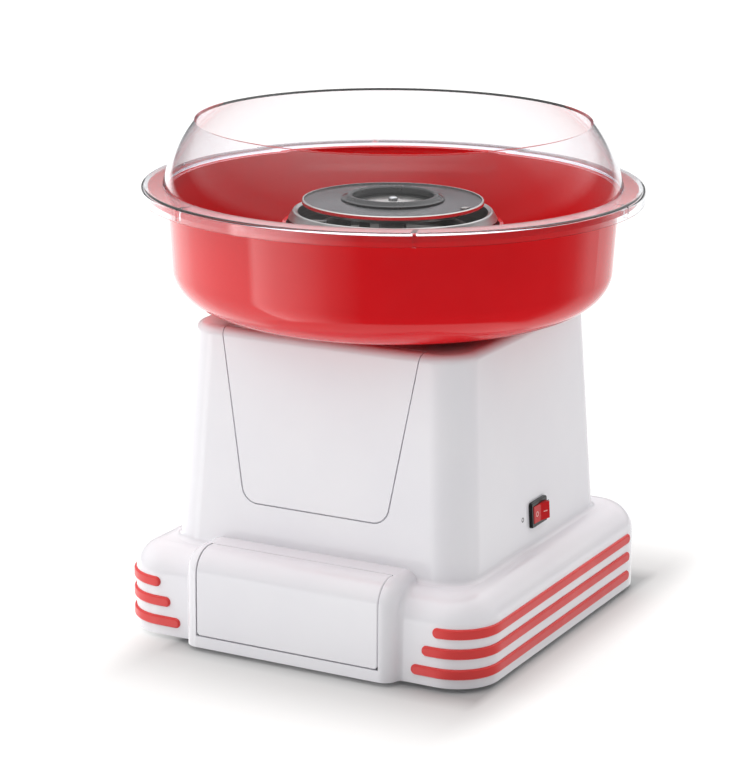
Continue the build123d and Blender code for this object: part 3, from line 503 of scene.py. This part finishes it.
class Finish(Enum):
    """The machine's finishes."""

    WHITE = MouldedPlastic("gloss_white_plastic", tone(240, 239, 243), tone(237, 236, 241), (0.10, 0.16))
    RED = MouldedPlastic("gloss_red_plastic", (0.73, 0.0038, 0.0085), (0.68, 0.0033, 0.0075), (0.05, 0.10))
    STRIPE = MouldedPlastic("satin_red_trim", tone(226, 60, 58), tone(218, 52, 51), (0.32, 0.42),
                            grain=1.5e-6)
    CLEAR = ClearPlastic("clear_moulded_plastic", (0.99, 0.99, 1.0), (0.93, 0.93, 0.95),
                         (0.68, 0.7, 0.9), 24.0)
    PAN = SpunMetal("spun_aluminium_pan", tone(196, 196, 194), tone(158, 157, 155), (0.26, 0.42))
    DISH = SpunMetal("spun_aluminium_dish", tone(222, 221, 217), tone(196, 195, 191), (0.16, 0.28))
    HEAD_BLACK = SpunMetal("black_anodised_disc", tone(92, 92, 96), tone(62, 62, 66), (0.13, 0.24), 0.0009)
    LIP_BLACK = MouldedPlastic("gloss_black_ring", tone(10, 10, 12), tone(6, 6, 8), (0.2, 0.3))
    STEEL = PlainMetal("bright_steel", tone(205, 206, 208), tone(176, 177, 180), (0.18, 0.32), 0.008,
                       (1, 1, 6))
    ZINC = PlainMetal("zinc_plate", tone(208, 208, 204), tone(170, 172, 176), (0.22, 0.38), 0.003)
    SHEATH = PlainMetal("heat_darkened_sheath", tone(112, 98, 84), tone(70, 60, 54), (0.38, 0.6), 0.012)
    MOTOR = PlainMetal("rolled_steel_can", tone(182, 184, 186), tone(150, 152, 156), (0.28, 0.42), 0.01,
                       (1, 1, 5))
    BRASS = PlainMetal("brass_contact", tone(214, 178, 98), tone(180, 142, 70), (0.22, 0.36), 0.004)
    DARK_RESIN = DullSolid("matt_dark_resin", tone(44, 43, 42), tone(34, 33, 33), (0.42, 0.56))
    GREY_RESIN = DullSolid("matt_grey_resin", tone(126, 128, 130), tone(112, 114, 117), (0.42, 0.55))
    CERAMIC = DullSolid("white_ceramic", tone(228, 224, 214), tone(214, 208, 196), (0.3, 0.46), 0.0005, 6e-6)
    RUBBER = DullSolid("black_rubber", tone(40, 40, 41), tone(28, 28, 29), (0.66, 0.82), 0.0006, 2e-5)
    SWITCH_BLACK = MouldedPlastic("switch_black_nylon", tone(22, 22, 24), tone(15, 15, 17), (0.16, 0.24))
    SWITCH_RED = MouldedPlastic("switch_red_lens", tone(214, 20, 26), tone(196, 12, 18), (0.12, 0.2))
    INK_DARK = DullSolid("dark_print", tone(64, 62, 66), tone(52, 50, 54), (0.4, 0.5), 0.0003, 2e-6)
    INK_PALE = DullSolid("pale_print", tone(246, 190, 186), tone(238, 176, 172), (0.35, 0.45), 0.0003, 2e-6)
    # floor: skin, glow, then the painted contact shadow's centre, core half-size and falloff
    FLOOR = LightTable("studio_floor", (0.44, 0.44, 0.44), (0.6, 0.6, 0.59),
                       (0.02, 0.0), (0.095, 0.118), (0.032, 0.095))

    @property
    def material(self) -> bpy.types.Material:
        """The finish's material, made the first time it is asked for."""
        return bpy.data.materials.get(self.value.name) or self.value.make()


SLOT_FINISH = {
    "white_plastic": Finish.WHITE,
    "red_plastic": Finish.RED,
    "stripe_red": Finish.STRIPE,
    "clear_plastic": Finish.CLEAR,
    "pan_aluminium": Finish.PAN,
    "head_aluminium": Finish.DISH,
    "head_black": Finish.HEAD_BLACK,
    "lip_black": Finish.LIP_BLACK,
    "steel": Finish.STEEL,
    "zinc_screw": Finish.ZINC,
    "element_sheath": Finish.SHEATH,
    "motor_steel": Finish.MOTOR,
    "dark_resin": Finish.DARK_RESIN,
    "grey_resin": Finish.GREY_RESIN,
    "ceramic": Finish.CERAMIC,
    "brass": Finish.BRASS,
    "rubber": Finish.RUBBER,
    "switch_black": Finish.SWITCH_BLACK,
    "switch_red": Finish.SWITCH_RED,
}


# ------------------------------------------------------------------ meshes
def dress(piece: bpy.types.Object, finish: Finish) -> None:
    """Gives every slot of a piece one finish.

    Args:
        piece: The piece or CAD node.
        finish: Its finish.
    """
    if not piece.material_slots:
        piece.data.materials.append(finish.material)
    for slot in piece.material_slots:
        slot.material = finish.material


def add_piece(name: str, mesh: bmesh.types.BMesh, body: str, finish: Finish,
              stands_for: tuple[str, ...] = (), crease: float = 35.0) -> None:
    """Makes a finished piece of a mesh.

    Args:
        name: The piece's name.
        mesh: Its mesh, in place, in metres. It is freed.
        body: The CAD body it rides on.
        finish: Its finish.
        stands_for: CAD nodes that it replaces.
        crease: Edges sharper than this many degrees stay sharp.
    """
    bmesh.ops.remove_doubles(mesh, verts=mesh.verts, dist=MERGE_DISTANCE)
    bmesh.ops.recalc_face_normals(mesh, faces=mesh.faces)
    data = bpy.data.meshes.new(name)
    mesh.to_mesh(data)
    mesh.free()
    data.shade_smooth()
    data.set_sharp_from_angle(angle=math.radians(crease))
    piece = bpy.data.objects.new(name, data)
    bpy.context.scene.collection.objects.link(piece)
    dress(piece, finish)
    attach(piece, body)
    if stands_for:
        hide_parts(*stands_for)
    log.info("piece %s on %s: %d faces", name, body, len(data.polygons))


# ------------------------------------------------------------------ sub-assemblies
@dataclass
class CarriedNodes:
    """CAD nodes that stay as they are and take a finish from their material slot."""

    finishes: dict[str, Finish] = field(default_factory=SLOT_FINISH.copy)

    def dress(self) -> None:
        """Gives each CAD node its finish."""
        for name, node in NODES.items():
            slot = node.material_slots[0].material.name.split(".")[0]
            dress(node, self.finishes[slot])
            log.info("node %s: %s", name, slot)


class Mark(Enum):
    """The two switch marks."""

    OFF = "ring"
    ON = "bar"


@dataclass
class SwitchMarks:
    """Ring and bar on the two ends of the rocker, and printed beside it on the housing."""

    size: float = 0.0032
    stroke: float = 0.0006
    proud: float = 0.00006
    segments: int = 48
    along: Span = (-0.27, 0.22)
    beside: Span = (-0.019, 0.0155)
    lift: Span = (0.0, 0.0025)
    printed_scale: float = 0.9
    outside: float = 0.2

    def outline(self, mark: Mark) -> tuple[list[tuple[float, float]], list[tuple[float, float]]]:
        """Outer and inner edge of a mark, in its own plane; a bar has no inner edge.

        Args:
            mark: Which mark.

        Returns:
            The two closed lines.
        """
        half = self.size / 2
        if mark is Mark.ON:
            wide = self.stroke / 2
            return [(-half, -wide), (half, -wide), (half, wide), (-half, wide)], []
        turns = [2 * math.pi * step / self.segments for step in range(self.segments)]
        inner = half - self.stroke
        return ([(half * math.cos(t), half * math.sin(t)) for t in turns],
                [(inner * math.cos(t), inner * math.sin(t)) for t in turns])

    def mesh(self, mark: Mark, at: Vector, normal: Vector, scale: float) -> bmesh.types.BMesh:
        """A thin closed slab in the mark's shape, lying on a surface.

        Args:
            mark: Which mark.
            at: Where on the surface.
            normal: The surface's normal.
            scale: Its size against the usual one.

        Returns:
            The mesh.
        """
        up = (Vector((0, 0, 1)) - normal * normal.z).normalized()
        side = up.cross(normal)
        outer, inner = self.outline(mark)
        mesh = bmesh.new()

        def ring(line: list[tuple[float, float]], height: float) -> list[bmesh.types.BMVert]:
            """Makes vertices along a line.

            Args:
                line: The line, in the mark's plane.
                height: Its height over the surface.

            Returns:
                The vertices in order.
            """
            return [mesh.verts.new(at + (side * x + up * y) * scale + normal * height) for x, y in line]

        low, high = -self.proud, self.proud
        sheets = [(ring(outer, low), ring(inner, low)), (ring(outer, high), ring(inner, high))]
        for edge in (0, 1):
            below, above = sheets[0][edge], sheets[1][edge]
            for here in range(len(below)):
                after = (here + 1) % len(below)
                mesh.faces.new((below[here], below[after], above[after], above[here]))
        for rim, hole in sheets:
            if hole:
                for here in range(len(rim)):
                    after = (here + 1) % len(rim)
                    mesh.faces.new((rim[here], rim[after], hole[after], hole[here]))
            else:
                mesh.faces.new(rim)
        return mesh

    def put(self, name: str, mark: Mark, node: str, body: str, place: Span,
            finish: Finish, scale: float) -> None:
        """Lays a mark on the outside of a node, found by looking in from the right.

        Args:
            name: The piece's name.
            mark: Which mark.
            node: The CAD node that it is on.
            body: The body that it rides on.
            place: Its Y and Z.
            finish: Its finish.
            scale: Its size against the usual one.
        """
        skin = bmesh.new()
        skin.from_mesh(NODES[node].data)
        start, inwards = Vector((self.outside, *place)), Vector((-1, 0, 0))
        found, normal, _, _ = BVHTree.FromBMesh(skin).ray_cast(start, inwards)
        skin.free()
        normal = normal if normal.x > 0 else -normal
        add_piece(name, self.mesh(mark, found, normal, scale), body, finish)

    def build(self) -> None:
        """Lays the four marks."""
        low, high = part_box("switch_rocker")
        middle, level = (low[1] + high[1]) / 2, (low[2] + high[2]) / 2
        for mark, share, beside, lift in zip((Mark.OFF, Mark.ON), self.along, self.beside, self.lift):
            self.put(f"rocker_{mark.value}", mark, "switch_rocker", "rocker",
                     (middle + share * (high[1] - low[1]), level), Finish.INK_PALE, 1.0)
            self.put(f"printed_{mark.value}", mark, "housing", "base",
                     (middle + beside, level + lift), Finish.INK_DARK, self.printed_scale)


@dataclass
class ScrewSet:
    """Cross-head screws standing for one CAD set, each turned its own way."""

    name: str
    seed: int
    body: str = "base"
    sides: int = 32
    top_share: float = 0.72
    cut_length: float = 1.25
    cut_depth: float = 1.2
    cut_width: float = 0.22
    most_turn: float = 1.57
    level_within: float = 1e-5
    edge_share: float = 0.99
    crease: float = 25.0

    def islands(self) -> list[list[Vector]]:
        """Parts the CAD set into its screws.

        Returns:
            Each screw's vertices.
        """
        mesh = bmesh.new()
        mesh.from_mesh(NODES[self.name].data)
        bmesh.ops.remove_doubles(mesh, verts=mesh.verts, dist=MERGE_DISTANCE)
        left, groups = set(mesh.verts), []
        for start in mesh.verts:
            if start not in left:
                continue
            group, edge = [], [start]
            left.discard(start)
            while edge:
                vert = edge.pop()
                group.append(vert.co.copy())
                near = {link.other_vert(vert) for link in vert.link_edges} & left
                left -= near
                edge.extend(sorted(near, key=lambda other: other.index))
            groups.append(group)
        mesh.free()
        return groups

    def tree(self) -> bpy.types.NodeTree:
        """Builds the nodes: a coned head with a cross cut in it, on a shank, at every vertex.

        Returns:
            The node tree, with named inputs for its sizes, its seed and its material.
        """
        group = bpy.data.node_groups.new(f"{self.name}_nodes", "GeometryNodeTree")
        ports = group.interface
        ports.new_socket("Geometry", in_out="INPUT", socket_type="NodeSocketGeometry")
        for label in ("Head Radius", "Head Height", "Shank Radius", "Shank Length", "Cross Width", "Way"):
            ports.new_socket(label, in_out="INPUT", socket_type="NodeSocketFloat")
        ports.new_socket("Seed", in_out="INPUT", socket_type="NodeSocketInt")
        ports.new_socket("Material", in_out="INPUT", socket_type="NodeSocketMaterial")
        ports.new_socket("Geometry", in_out="OUTPUT", socket_type="NodeSocketGeometry")
        start = group.nodes.new("NodeGroupInput").outputs

        def node(kind: str, links: dict[str | int, object], **settings: object) -> bpy.types.Node:
            """Adds a node.

            Args:
                kind: The node's type.
                links: What feeds each input: a socket or a value.
                **settings: The node's own settings.

            Returns:
                The node.
            """
            made = group.nodes.new(kind)
            for key, value in settings.items():
                setattr(made, key, value)
            for key, value in links.items():
                if isinstance(value, bpy.types.NodeSocket):
                    group.links.new(value, made.inputs[key])
                else:
                    made.inputs[key].default_value = value
            return made

        def times(first: object, second: object) -> bpy.types.NodeSocket:
            """The product of two numbers."""
            return node("ShaderNodeMath", {0: first, 1: second}, operation="MULTIPLY").outputs[0]

        def moved(mesh: bpy.types.NodeSocket, height: bpy.types.NodeSocket) -> bpy.types.NodeSocket:
            """A mesh lifted along Z."""
            shift = node("ShaderNodeCombineXYZ", {"Z": height})
            links = {"Geometry": mesh, "Translation": shift.outputs[0]}
            return node("GeometryNodeTransform", links).outputs[0]

        head = node("GeometryNodeMeshCone", {
            "Vertices": self.sides, "Radius Top": times(start["Head Radius"], self.top_share),
            "Radius Bottom": start["Head Radius"], "Depth": start["Head Height"],
        }).outputs["Mesh"]
        long, wide = times(start["Head Radius"], self.cut_length), start["Cross Width"]
        deep = times(start["Head Height"], self.cut_depth)
        cuts = []
        for size in ((long, wide), (wide, long)):
            block = node("ShaderNodeCombineXYZ", {"X": size[0], "Y": size[1], "Z": deep})
            cube = node("GeometryNodeMeshCube", {"Size": block.outputs[0]}).outputs["Mesh"]
            cuts.append(moved(cube, start["Head Height"]))
        cross = node("GeometryNodeMeshBoolean", {}, operation="UNION", solver="EXACT")
        for cut in cuts:
            group.links.new(cut, cross.inputs["Mesh 2"])
        crossed = node("GeometryNodeMeshBoolean", {"Mesh 1": head, "Mesh 2": cross.outputs[0]},
                       operation="DIFFERENCE", solver="EXACT").outputs[0]
        shank = node("GeometryNodeMeshCylinder", {
            "Vertices": self.sides, "Radius": start["Shank Radius"], "Depth": start["Shank Length"],
        }).outputs["Mesh"]
        whole = node("GeometryNodeJoinGeometry", {})
        group.links.new(crossed, whole.inputs[0])
        group.links.new(moved(shank, times(start["Shank Length"], -0.5)), whole.inputs[0])
        spin = node("FunctionNodeRandomValue", {"Max": self.most_turn, "Seed": start["Seed"]},
                    data_type="FLOAT")
        over = node("ShaderNodeMath", {0: math.pi, 1: start["Way"]}, operation="MULTIPLY")
        turn = node("ShaderNodeCombineXYZ", {"X": over.outputs[0], "Z": spin.outputs["Value"]})
        placed = node("GeometryNodeInstanceOnPoints", {
            "Points": start["Geometry"], "Instance": whole.outputs[0], "Rotation": turn.outputs[0],
        })
        real = node("GeometryNodeRealizeInstances", {"Geometry": placed.outputs[0]})
        dressed = node("GeometryNodeSetMaterial",
                       {"Geometry": real.outputs[0], "Material": start["Material"]})
        group.links.new(dressed.outputs[0], group.nodes.new("NodeGroupOutput").inputs[0])
        return group

    def build(self) -> None:
        """Builds the set from the CAD set's places and sizes."""
        groups = self.islands()
        middles = []
        for group in groups:
            xs, ys, zs = ([point[axis] for point in group] for axis in range(3))
            middles.append(Vector(((min(xs) + max(xs)) / 2, (min(ys) + max(ys)) / 2, 0)))
            low, high = min(zs), max(zs)
        sample, middle = groups[-1], middles[-1]
        reach = {end: max((point - middle).xy.length for point in sample
                          if abs(point.z - end) < self.level_within)
                 for end in (low, high)}
        upside = reach[low] > reach[high]
        head_end, way = (low, 1.0) if upside else (high, 0.0)
        head, shank = reach[head_end], reach[low + high - head_end]
        wide = [point.z for point in sample if (point - middle).xy.length > head * self.edge_share]
        seat = max(wide) if upside else min(wide)
        thick = abs(head_end - seat)
        mesh = bmesh.new()
        for spot in middles:
            mesh.verts.new((spot.x, spot.y, seat))
        data = bpy.data.meshes.new(self.name)
        mesh.to_mesh(data)
        mesh.free()
        piece = bpy.data.objects.new(f"{self.name}_set", data)
        bpy.context.scene.collection.objects.link(piece)
        modifier = piece.modifiers.new("screws", "NODES")
        modifier.node_group = self.tree()
        values = {"Head Radius": head, "Head Height": thick, "Shank Radius": shank, "Way": way,
                  "Shank Length": high - low - thick, "Cross Width": head * self.cut_width,
                  "Seed": self.seed, "Material": Finish.ZINC.material}
        for port in modifier.node_group.interface.items_tree:
            if port.in_out == "INPUT" and port.name in values:
                modifier[port.identifier] = values[port.name]
        shape = piece.evaluated_get(bpy.context.evaluated_depsgraph_get())
        solid = bpy.data.meshes.new_from_object(shape)
        piece.modifiers.clear()
        bpy.data.objects.remove(piece)
        mesh = bmesh.new()
        mesh.from_mesh(solid)
        add_piece(f"{self.name}_set", mesh, self.body, Finish.ZINC, (self.name,), self.crease)


@dataclass
class ClearGuard:
    """The clear rim guard: skirt, flange and domed wall turned in fine steps, with its grip ribs."""

    flange_z: float = 0.2564
    foot_r: float = 0.1326
    bulge: Span = (0.1249, 0.2773)
    mouth_r: float = 0.1141
    wall: float = 0.0018
    edge_r: float = 0.002
    ribs: int = 6
    rib_start: float = 2.0
    rib: Point = (0.0024, 0.0020, 0.0058)
    bite: Span = (0.0004, 0.0002)
    crease: float = 30.0
    turns: int = 256
    arc_steps: int = 24
    edge_steps: int = 8

    def circle(self, first: Vector, second: Vector, third: Vector) -> tuple[Vector, float]:
        """The circle through three points of a section.

        Args:
            first: One point.
            second: Another.
            third: The last.

        Returns:
            Its centre and its radius.
        """
        a, b = second - first, third - first
        cross = 2 * (a.x * b.y - a.y * b.x)
        middle = first + Vector((b.y * a.length_squared - a.y * b.length_squared,
                                 a.x * b.length_squared - b.x * a.length_squared)) / cross
        return middle, (first - middle).length

    def arc(self, middle: Vector, radius: float, start: float, end: float, steps: int) -> list[Vector]:
        """Points along an arc of the section.

        Args:
            middle: The arc's centre.
            radius: Its radius.
            start: Its first angle in radians.
            end: Its last angle.
            steps: How many steps it is cut into.

        Returns:
            The points in order, both ends included.
        """
        turns = (start + (end - start) * step / steps for step in range(steps + 1))
        return [middle + radius * Vector((math.cos(turn), math.sin(turn))) for turn in turns]

    def section(self, rim: float, skirt_z: float, mouth_z: float) -> list[Vector]:
        """The wall's section as a closed line of radius and height.

        Args:
            rim: The flange's radius.
            skirt_z: The skirt's lower edge.
            mouth_z: The mouth's height.

        Returns:
            Its points in order, up the outside and down the inside.
        """
        foot, mouth = Vector((self.foot_r, self.flange_z)), Vector((self.mouth_r, mouth_z))
        middle, radius = self.circle(foot, Vector(self.bulge), mouth)
        corner = Vector((rim - self.edge_r, self.flange_z - self.edge_r))
        inner_z = self.flange_z - self.wall
        low = math.asin((inner_z - middle.y) / (radius - self.wall))
        start, end = (math.atan2(*(point - middle).yx) for point in (foot, mouth))
        outside = [Vector((rim, skirt_z)), *self.arc(corner, self.edge_r, 0, math.pi / 2, self.edge_steps),
                   *self.arc(middle, radius, start, end, self.arc_steps)]
        inside = [Vector((rim - self.wall, skirt_z)),
                  *self.arc(corner, self.edge_r - self.wall, 0, math.pi / 2, self.edge_steps),
                  *self.arc(middle, radius - self.wall, low, end, self.arc_steps)]
        return outside + inside[::-1]

    def shell(self, line: list[Vector]) -> bmesh.types.BMesh:
        """Turns a section about Z.

        Args:
            line: The closed section.

        Returns:
            The mesh.
        """
        mesh = bmesh.new()
        rings = []
        for step in range(self.turns):
            turn = 2 * math.pi * step / self.turns
            rings.append([mesh.verts.new((point.x * math.cos(turn), point.x * math.sin(turn), point.y))
                          for point in line])
        for here, ring in enumerate(rings):
            after = rings[(here + 1) % self.turns]
            for low in range(len(line)):
                high = (low + 1) % len(line)
                mesh.faces.new((ring[low], after[low], after[high], ring[high]))
        return mesh

    def build(self) -> None:
        """Builds the guard and joins its ribs to it."""
        low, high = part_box("rim_guard")
        parts = [self.shell(self.section(high[0], low[2], high[2])), bmesh.new()]
        radius = high[0] - self.wall - self.rib[0] / 2 + self.bite[0]
        level = self.flange_z - self.wall + self.bite[1]
        for number in range(self.ribs):
            turn = Matrix.Rotation(math.radians(self.rib_start + 360 / self.ribs * number), 4, "Z")
            shift = Matrix.Translation((radius, 0, level - self.rib[2] / 2))
            bmesh.ops.create_cube(parts[1], size=1.0, matrix=turn @ shift @ Matrix.Diagonal((*self.rib, 1)))
        made = []
        for name, mesh in zip(("guard_shell", "guard_ribs"), parts):
            bmesh.ops.recalc_face_normals(mesh, faces=mesh.faces)
            data = bpy.data.meshes.new(name)
            mesh.to_mesh(data)
            mesh.free()
            made.append(bpy.data.objects.new(name, data))
            bpy.context.scene.collection.objects.link(made[-1])
        union = made[0].modifiers.new("ribs", "BOOLEAN")
        union.operation, union.solver, union.object = "UNION", "EXACT", made[1]
        solid = bpy.data.meshes.new_from_object(made[0].evaluated_get(bpy.context.evaluated_depsgraph_get()))
        for piece in made:
            bpy.data.objects.remove(piece)
        mesh = bmesh.new()
        mesh.from_mesh(solid)
        add_piece("clear_rim_guard", mesh, "guard", Finish.CLEAR, ("rim_guard",),
                  self.crease)


@dataclass
class Sky:
    """Soft light from all round: a bright dome, white screens left and behind, a dark one right.

    The dome lights the machine. The screens stand below the horizon, where only mirrored light
    reads them, as the floor hides them.
    """

    peak: float = 4.6
    dome: Stops = ((0.0, 0.1), (0.14, 0.12), (0.24, 0.48), (0.4, 0.5), (0.75, 1.12), (1.0, 1.88))
    screens: Stops = (
        (-180, 1.0), (-130, 1.7), (-103, 1.7), (-98, 1.5), (-52, 1.7), (-48, 3.9), (-36, 2.6), (-20, 1.7),
        (-5, 0.7), (12, 0.16), (120, 0.16), (134, 0.3), (148, 0.85), (180, 1.0),
    )
    sides: Stops = (
        (-180, 2.0), (-150, 2.0), (-125, 1.2), (-30, 1.05), (15, 0.8), (60, 0.48), (110, 0.55),
        (150, 1.7), (180, 2.0),
    )
    side_peak: float = 2.0
    overhead: Span = (5.0, -4.0)
    horizon: Span = (20.0, 1.0)
    table: float = 1.1
    table_edge: Span = (-0.83, -0.78)
    first_bounce: float = 1.5

    def grey(self, tree: Tree, value: bpy.types.NodeSocket, stops: Stops) -> bpy.types.NodeSocket:
        """Brightness along a ramp, divided by the peak.

        Args:
            tree: The sky's tree.
            value: Where on the ramp.
            stops: Position and brightness of each stop.

        Returns:
            The brightness.
        """
        return tree.ramp(value, *((place, (level / self.peak,) * 3) for place, level in stops))

    def build(self) -> None:
        """Makes the sky: dim to light by, white to look at, also through clear walls."""
        world = bpy.data.worlds.new("studio")
        tree = Tree(world, "Generated")
        split = tree.add("ShaderNodeSeparateXYZ")
        tree.links.new(tree.place, split.inputs[0])
        x, y, z = split.outputs
        turn = tree.math("ARCTAN2", x, tree.math("MULTIPLY", y, -1.0))
        turn = tree.math("MULTIPLY_ADD", turn, 0.5 / math.pi, 0.5)
        screens = tuple((angle / 360 + 0.5, level) for angle, level in self.screens)
        below = self.grey(tree, turn, screens)
        above = self.grey(tree, z, self.dome)
        around = ((angle / 360 + 0.5, (level / self.side_peak,) * 3) for angle, level in self.sides)
        sides = tree.ramp(turn, *around)
        sides = tree.mix(tree.math("MULTIPLY_ADD", z, *self.overhead), sides, (1 / self.side_peak,) * 3)
        above = tree.scaled(above, sides, self.side_peak)
        low, high = self.table_edge
        edge = tree.math("DIVIDE", tree.math("SUBTRACT", z, low), high - low)
        below = tree.mix(edge, (self.table / self.peak,) * 3, below)
        light = tree.mix(tree.math("MULTIPLY_ADD", z, *self.horizon), below, above)
        room = tree.add("ShaderNodeBackground")
        room.inputs["Strength"].default_value = self.peak
        tree.links.new(light, room.inputs["Color"])
        backdrop = tree.add("ShaderNodeBackground")
        backdrop.inputs["Color"].default_value = (1.0, 1.0, 1.0, 1.0)
        path = tree.add("ShaderNodeLightPath").outputs
        bounces = tree.math("SUBTRACT", path["Ray Depth"], path["Transmission Depth"])
        early = tree.math("LESS_THAN", bounces, self.first_bounce)
        through = tree.math("MULTIPLY", early, path["Is Transmission Ray"])
        both = tree.add("ShaderNodeMixShader")
        tree.links.new(tree.math("MAXIMUM", through, path["Is Camera Ray"]), both.inputs[0])
        tree.links.new(room.outputs[0], both.inputs[1])
        tree.links.new(backdrop.outputs[0], both.inputs[2])
        output = tree.add("ShaderNodeOutputWorld")
        tree.links.new(both.outputs[0], output.inputs["Surface"])
        bpy.context.scene.world = world


@dataclass(frozen=True)
class SoftBox:
    """One soft lamp: its name, place, width and height, and power in watts."""

    name: str
    at: Point
    size: Span
    power: float


@dataclass
class Studio:
    """Pale floor, soft lights and the camera."""

    camera_at: Point = (0.7377, -1.4198, 0.5602)
    yaw: float = 27.8
    pitch: float = 14.87
    roll: float = 0.42
    lens: float = 131.9
    floor_half: float = 8.0
    floor_drop: float = 0.0003
    aim: Point = (0, 0, 0.15)
    boxes: tuple[SoftBox, ...] = (
        SoftBox("left_box", (-1.5, -0.5, 0.85), (1.5, 1.5), 12),
        SoftBox("rear_right_box", (1.3, 1.2, 0.8), (1.0, 1.2), 2),
    )

    def floor(self) -> None:
        """Lays the floor."""
        half = self.floor_half
        mesh = bmesh.new()
        corners = ((-1, -1), (1, -1), (1, 1), (-1, 1))
        mesh.faces.new([mesh.verts.new((x * half, y * half, -self.floor_drop)) for x, y in corners])
        data = bpy.data.meshes.new("floor")
        mesh.to_mesh(data)
        mesh.free()
        floor = bpy.data.objects.new("floor", data)
        bpy.context.scene.collection.objects.link(floor)
        dress(floor, Finish.FLOOR)

    def lamp(self, box: SoftBox) -> None:
        """Hangs one soft box.

        Args:
            box: The soft box.
        """
        light = bpy.data.lights.new(box.name, "AREA")
        light.shape = "RECTANGLE"
        light.size, light.size_y = box.size
        light.energy = box.power
        lamp = bpy.data.objects.new(box.name, light)
        lamp.location = box.at
        lamp.rotation_euler = (Vector(self.aim) - Vector(box.at)).to_track_quat("-Z", "Y").to_euler()
        lamp.visible_transmission = False
        lamp.visible_glossy = False
        bpy.context.scene.collection.objects.link(lamp)

    def lights(self) -> None:
        """Hangs the lamps and sets the sky."""
        for box in self.boxes:
            self.lamp(box)
        Sky().build()

    def camera(self) -> None:
        """Places the camera."""
        yaw, pitch, roll = (math.radians(a) for a in (self.yaw, self.pitch, self.roll))
        ahead = Vector((-math.sin(yaw) * math.cos(pitch), math.cos(yaw) * math.cos(pitch), -math.sin(pitch)))
        right = ahead.cross(Vector((0, 0, 1))).normalized()
        up = right.cross(ahead)
        right, up = right * math.cos(roll) + up * math.sin(roll), up * math.cos(roll) - right * math.sin(roll)
        data = bpy.data.cameras.new("camera")
        data.sensor_width = 36.0
        data.lens = self.lens
        camera = bpy.data.objects.new("camera", data)
        turned = Matrix((right, up, -ahead)).transposed().to_4x4()
        camera.matrix_world = Matrix.Translation(self.camera_at) @ turned
        bpy.context.scene.collection.objects.link(camera)
        bpy.context.scene.camera = camera

    def build(self) -> None:
        """Builds the studio."""
        self.camera()
        self.floor()
        self.lights()
        bpy.context.scene.view_settings.view_transform = "Standard"


def main() -> None:
    """Builds the machine's visible pieces in order."""
    Studio().build()
    CarriedNodes().dress()
    ClearGuard().build()
    SwitchMarks().build()
    for seed, name in enumerate(SCREW_SETS, start=1):
        ScrewSet(name, seed).build()


if __name__ == "__main__":
    main()
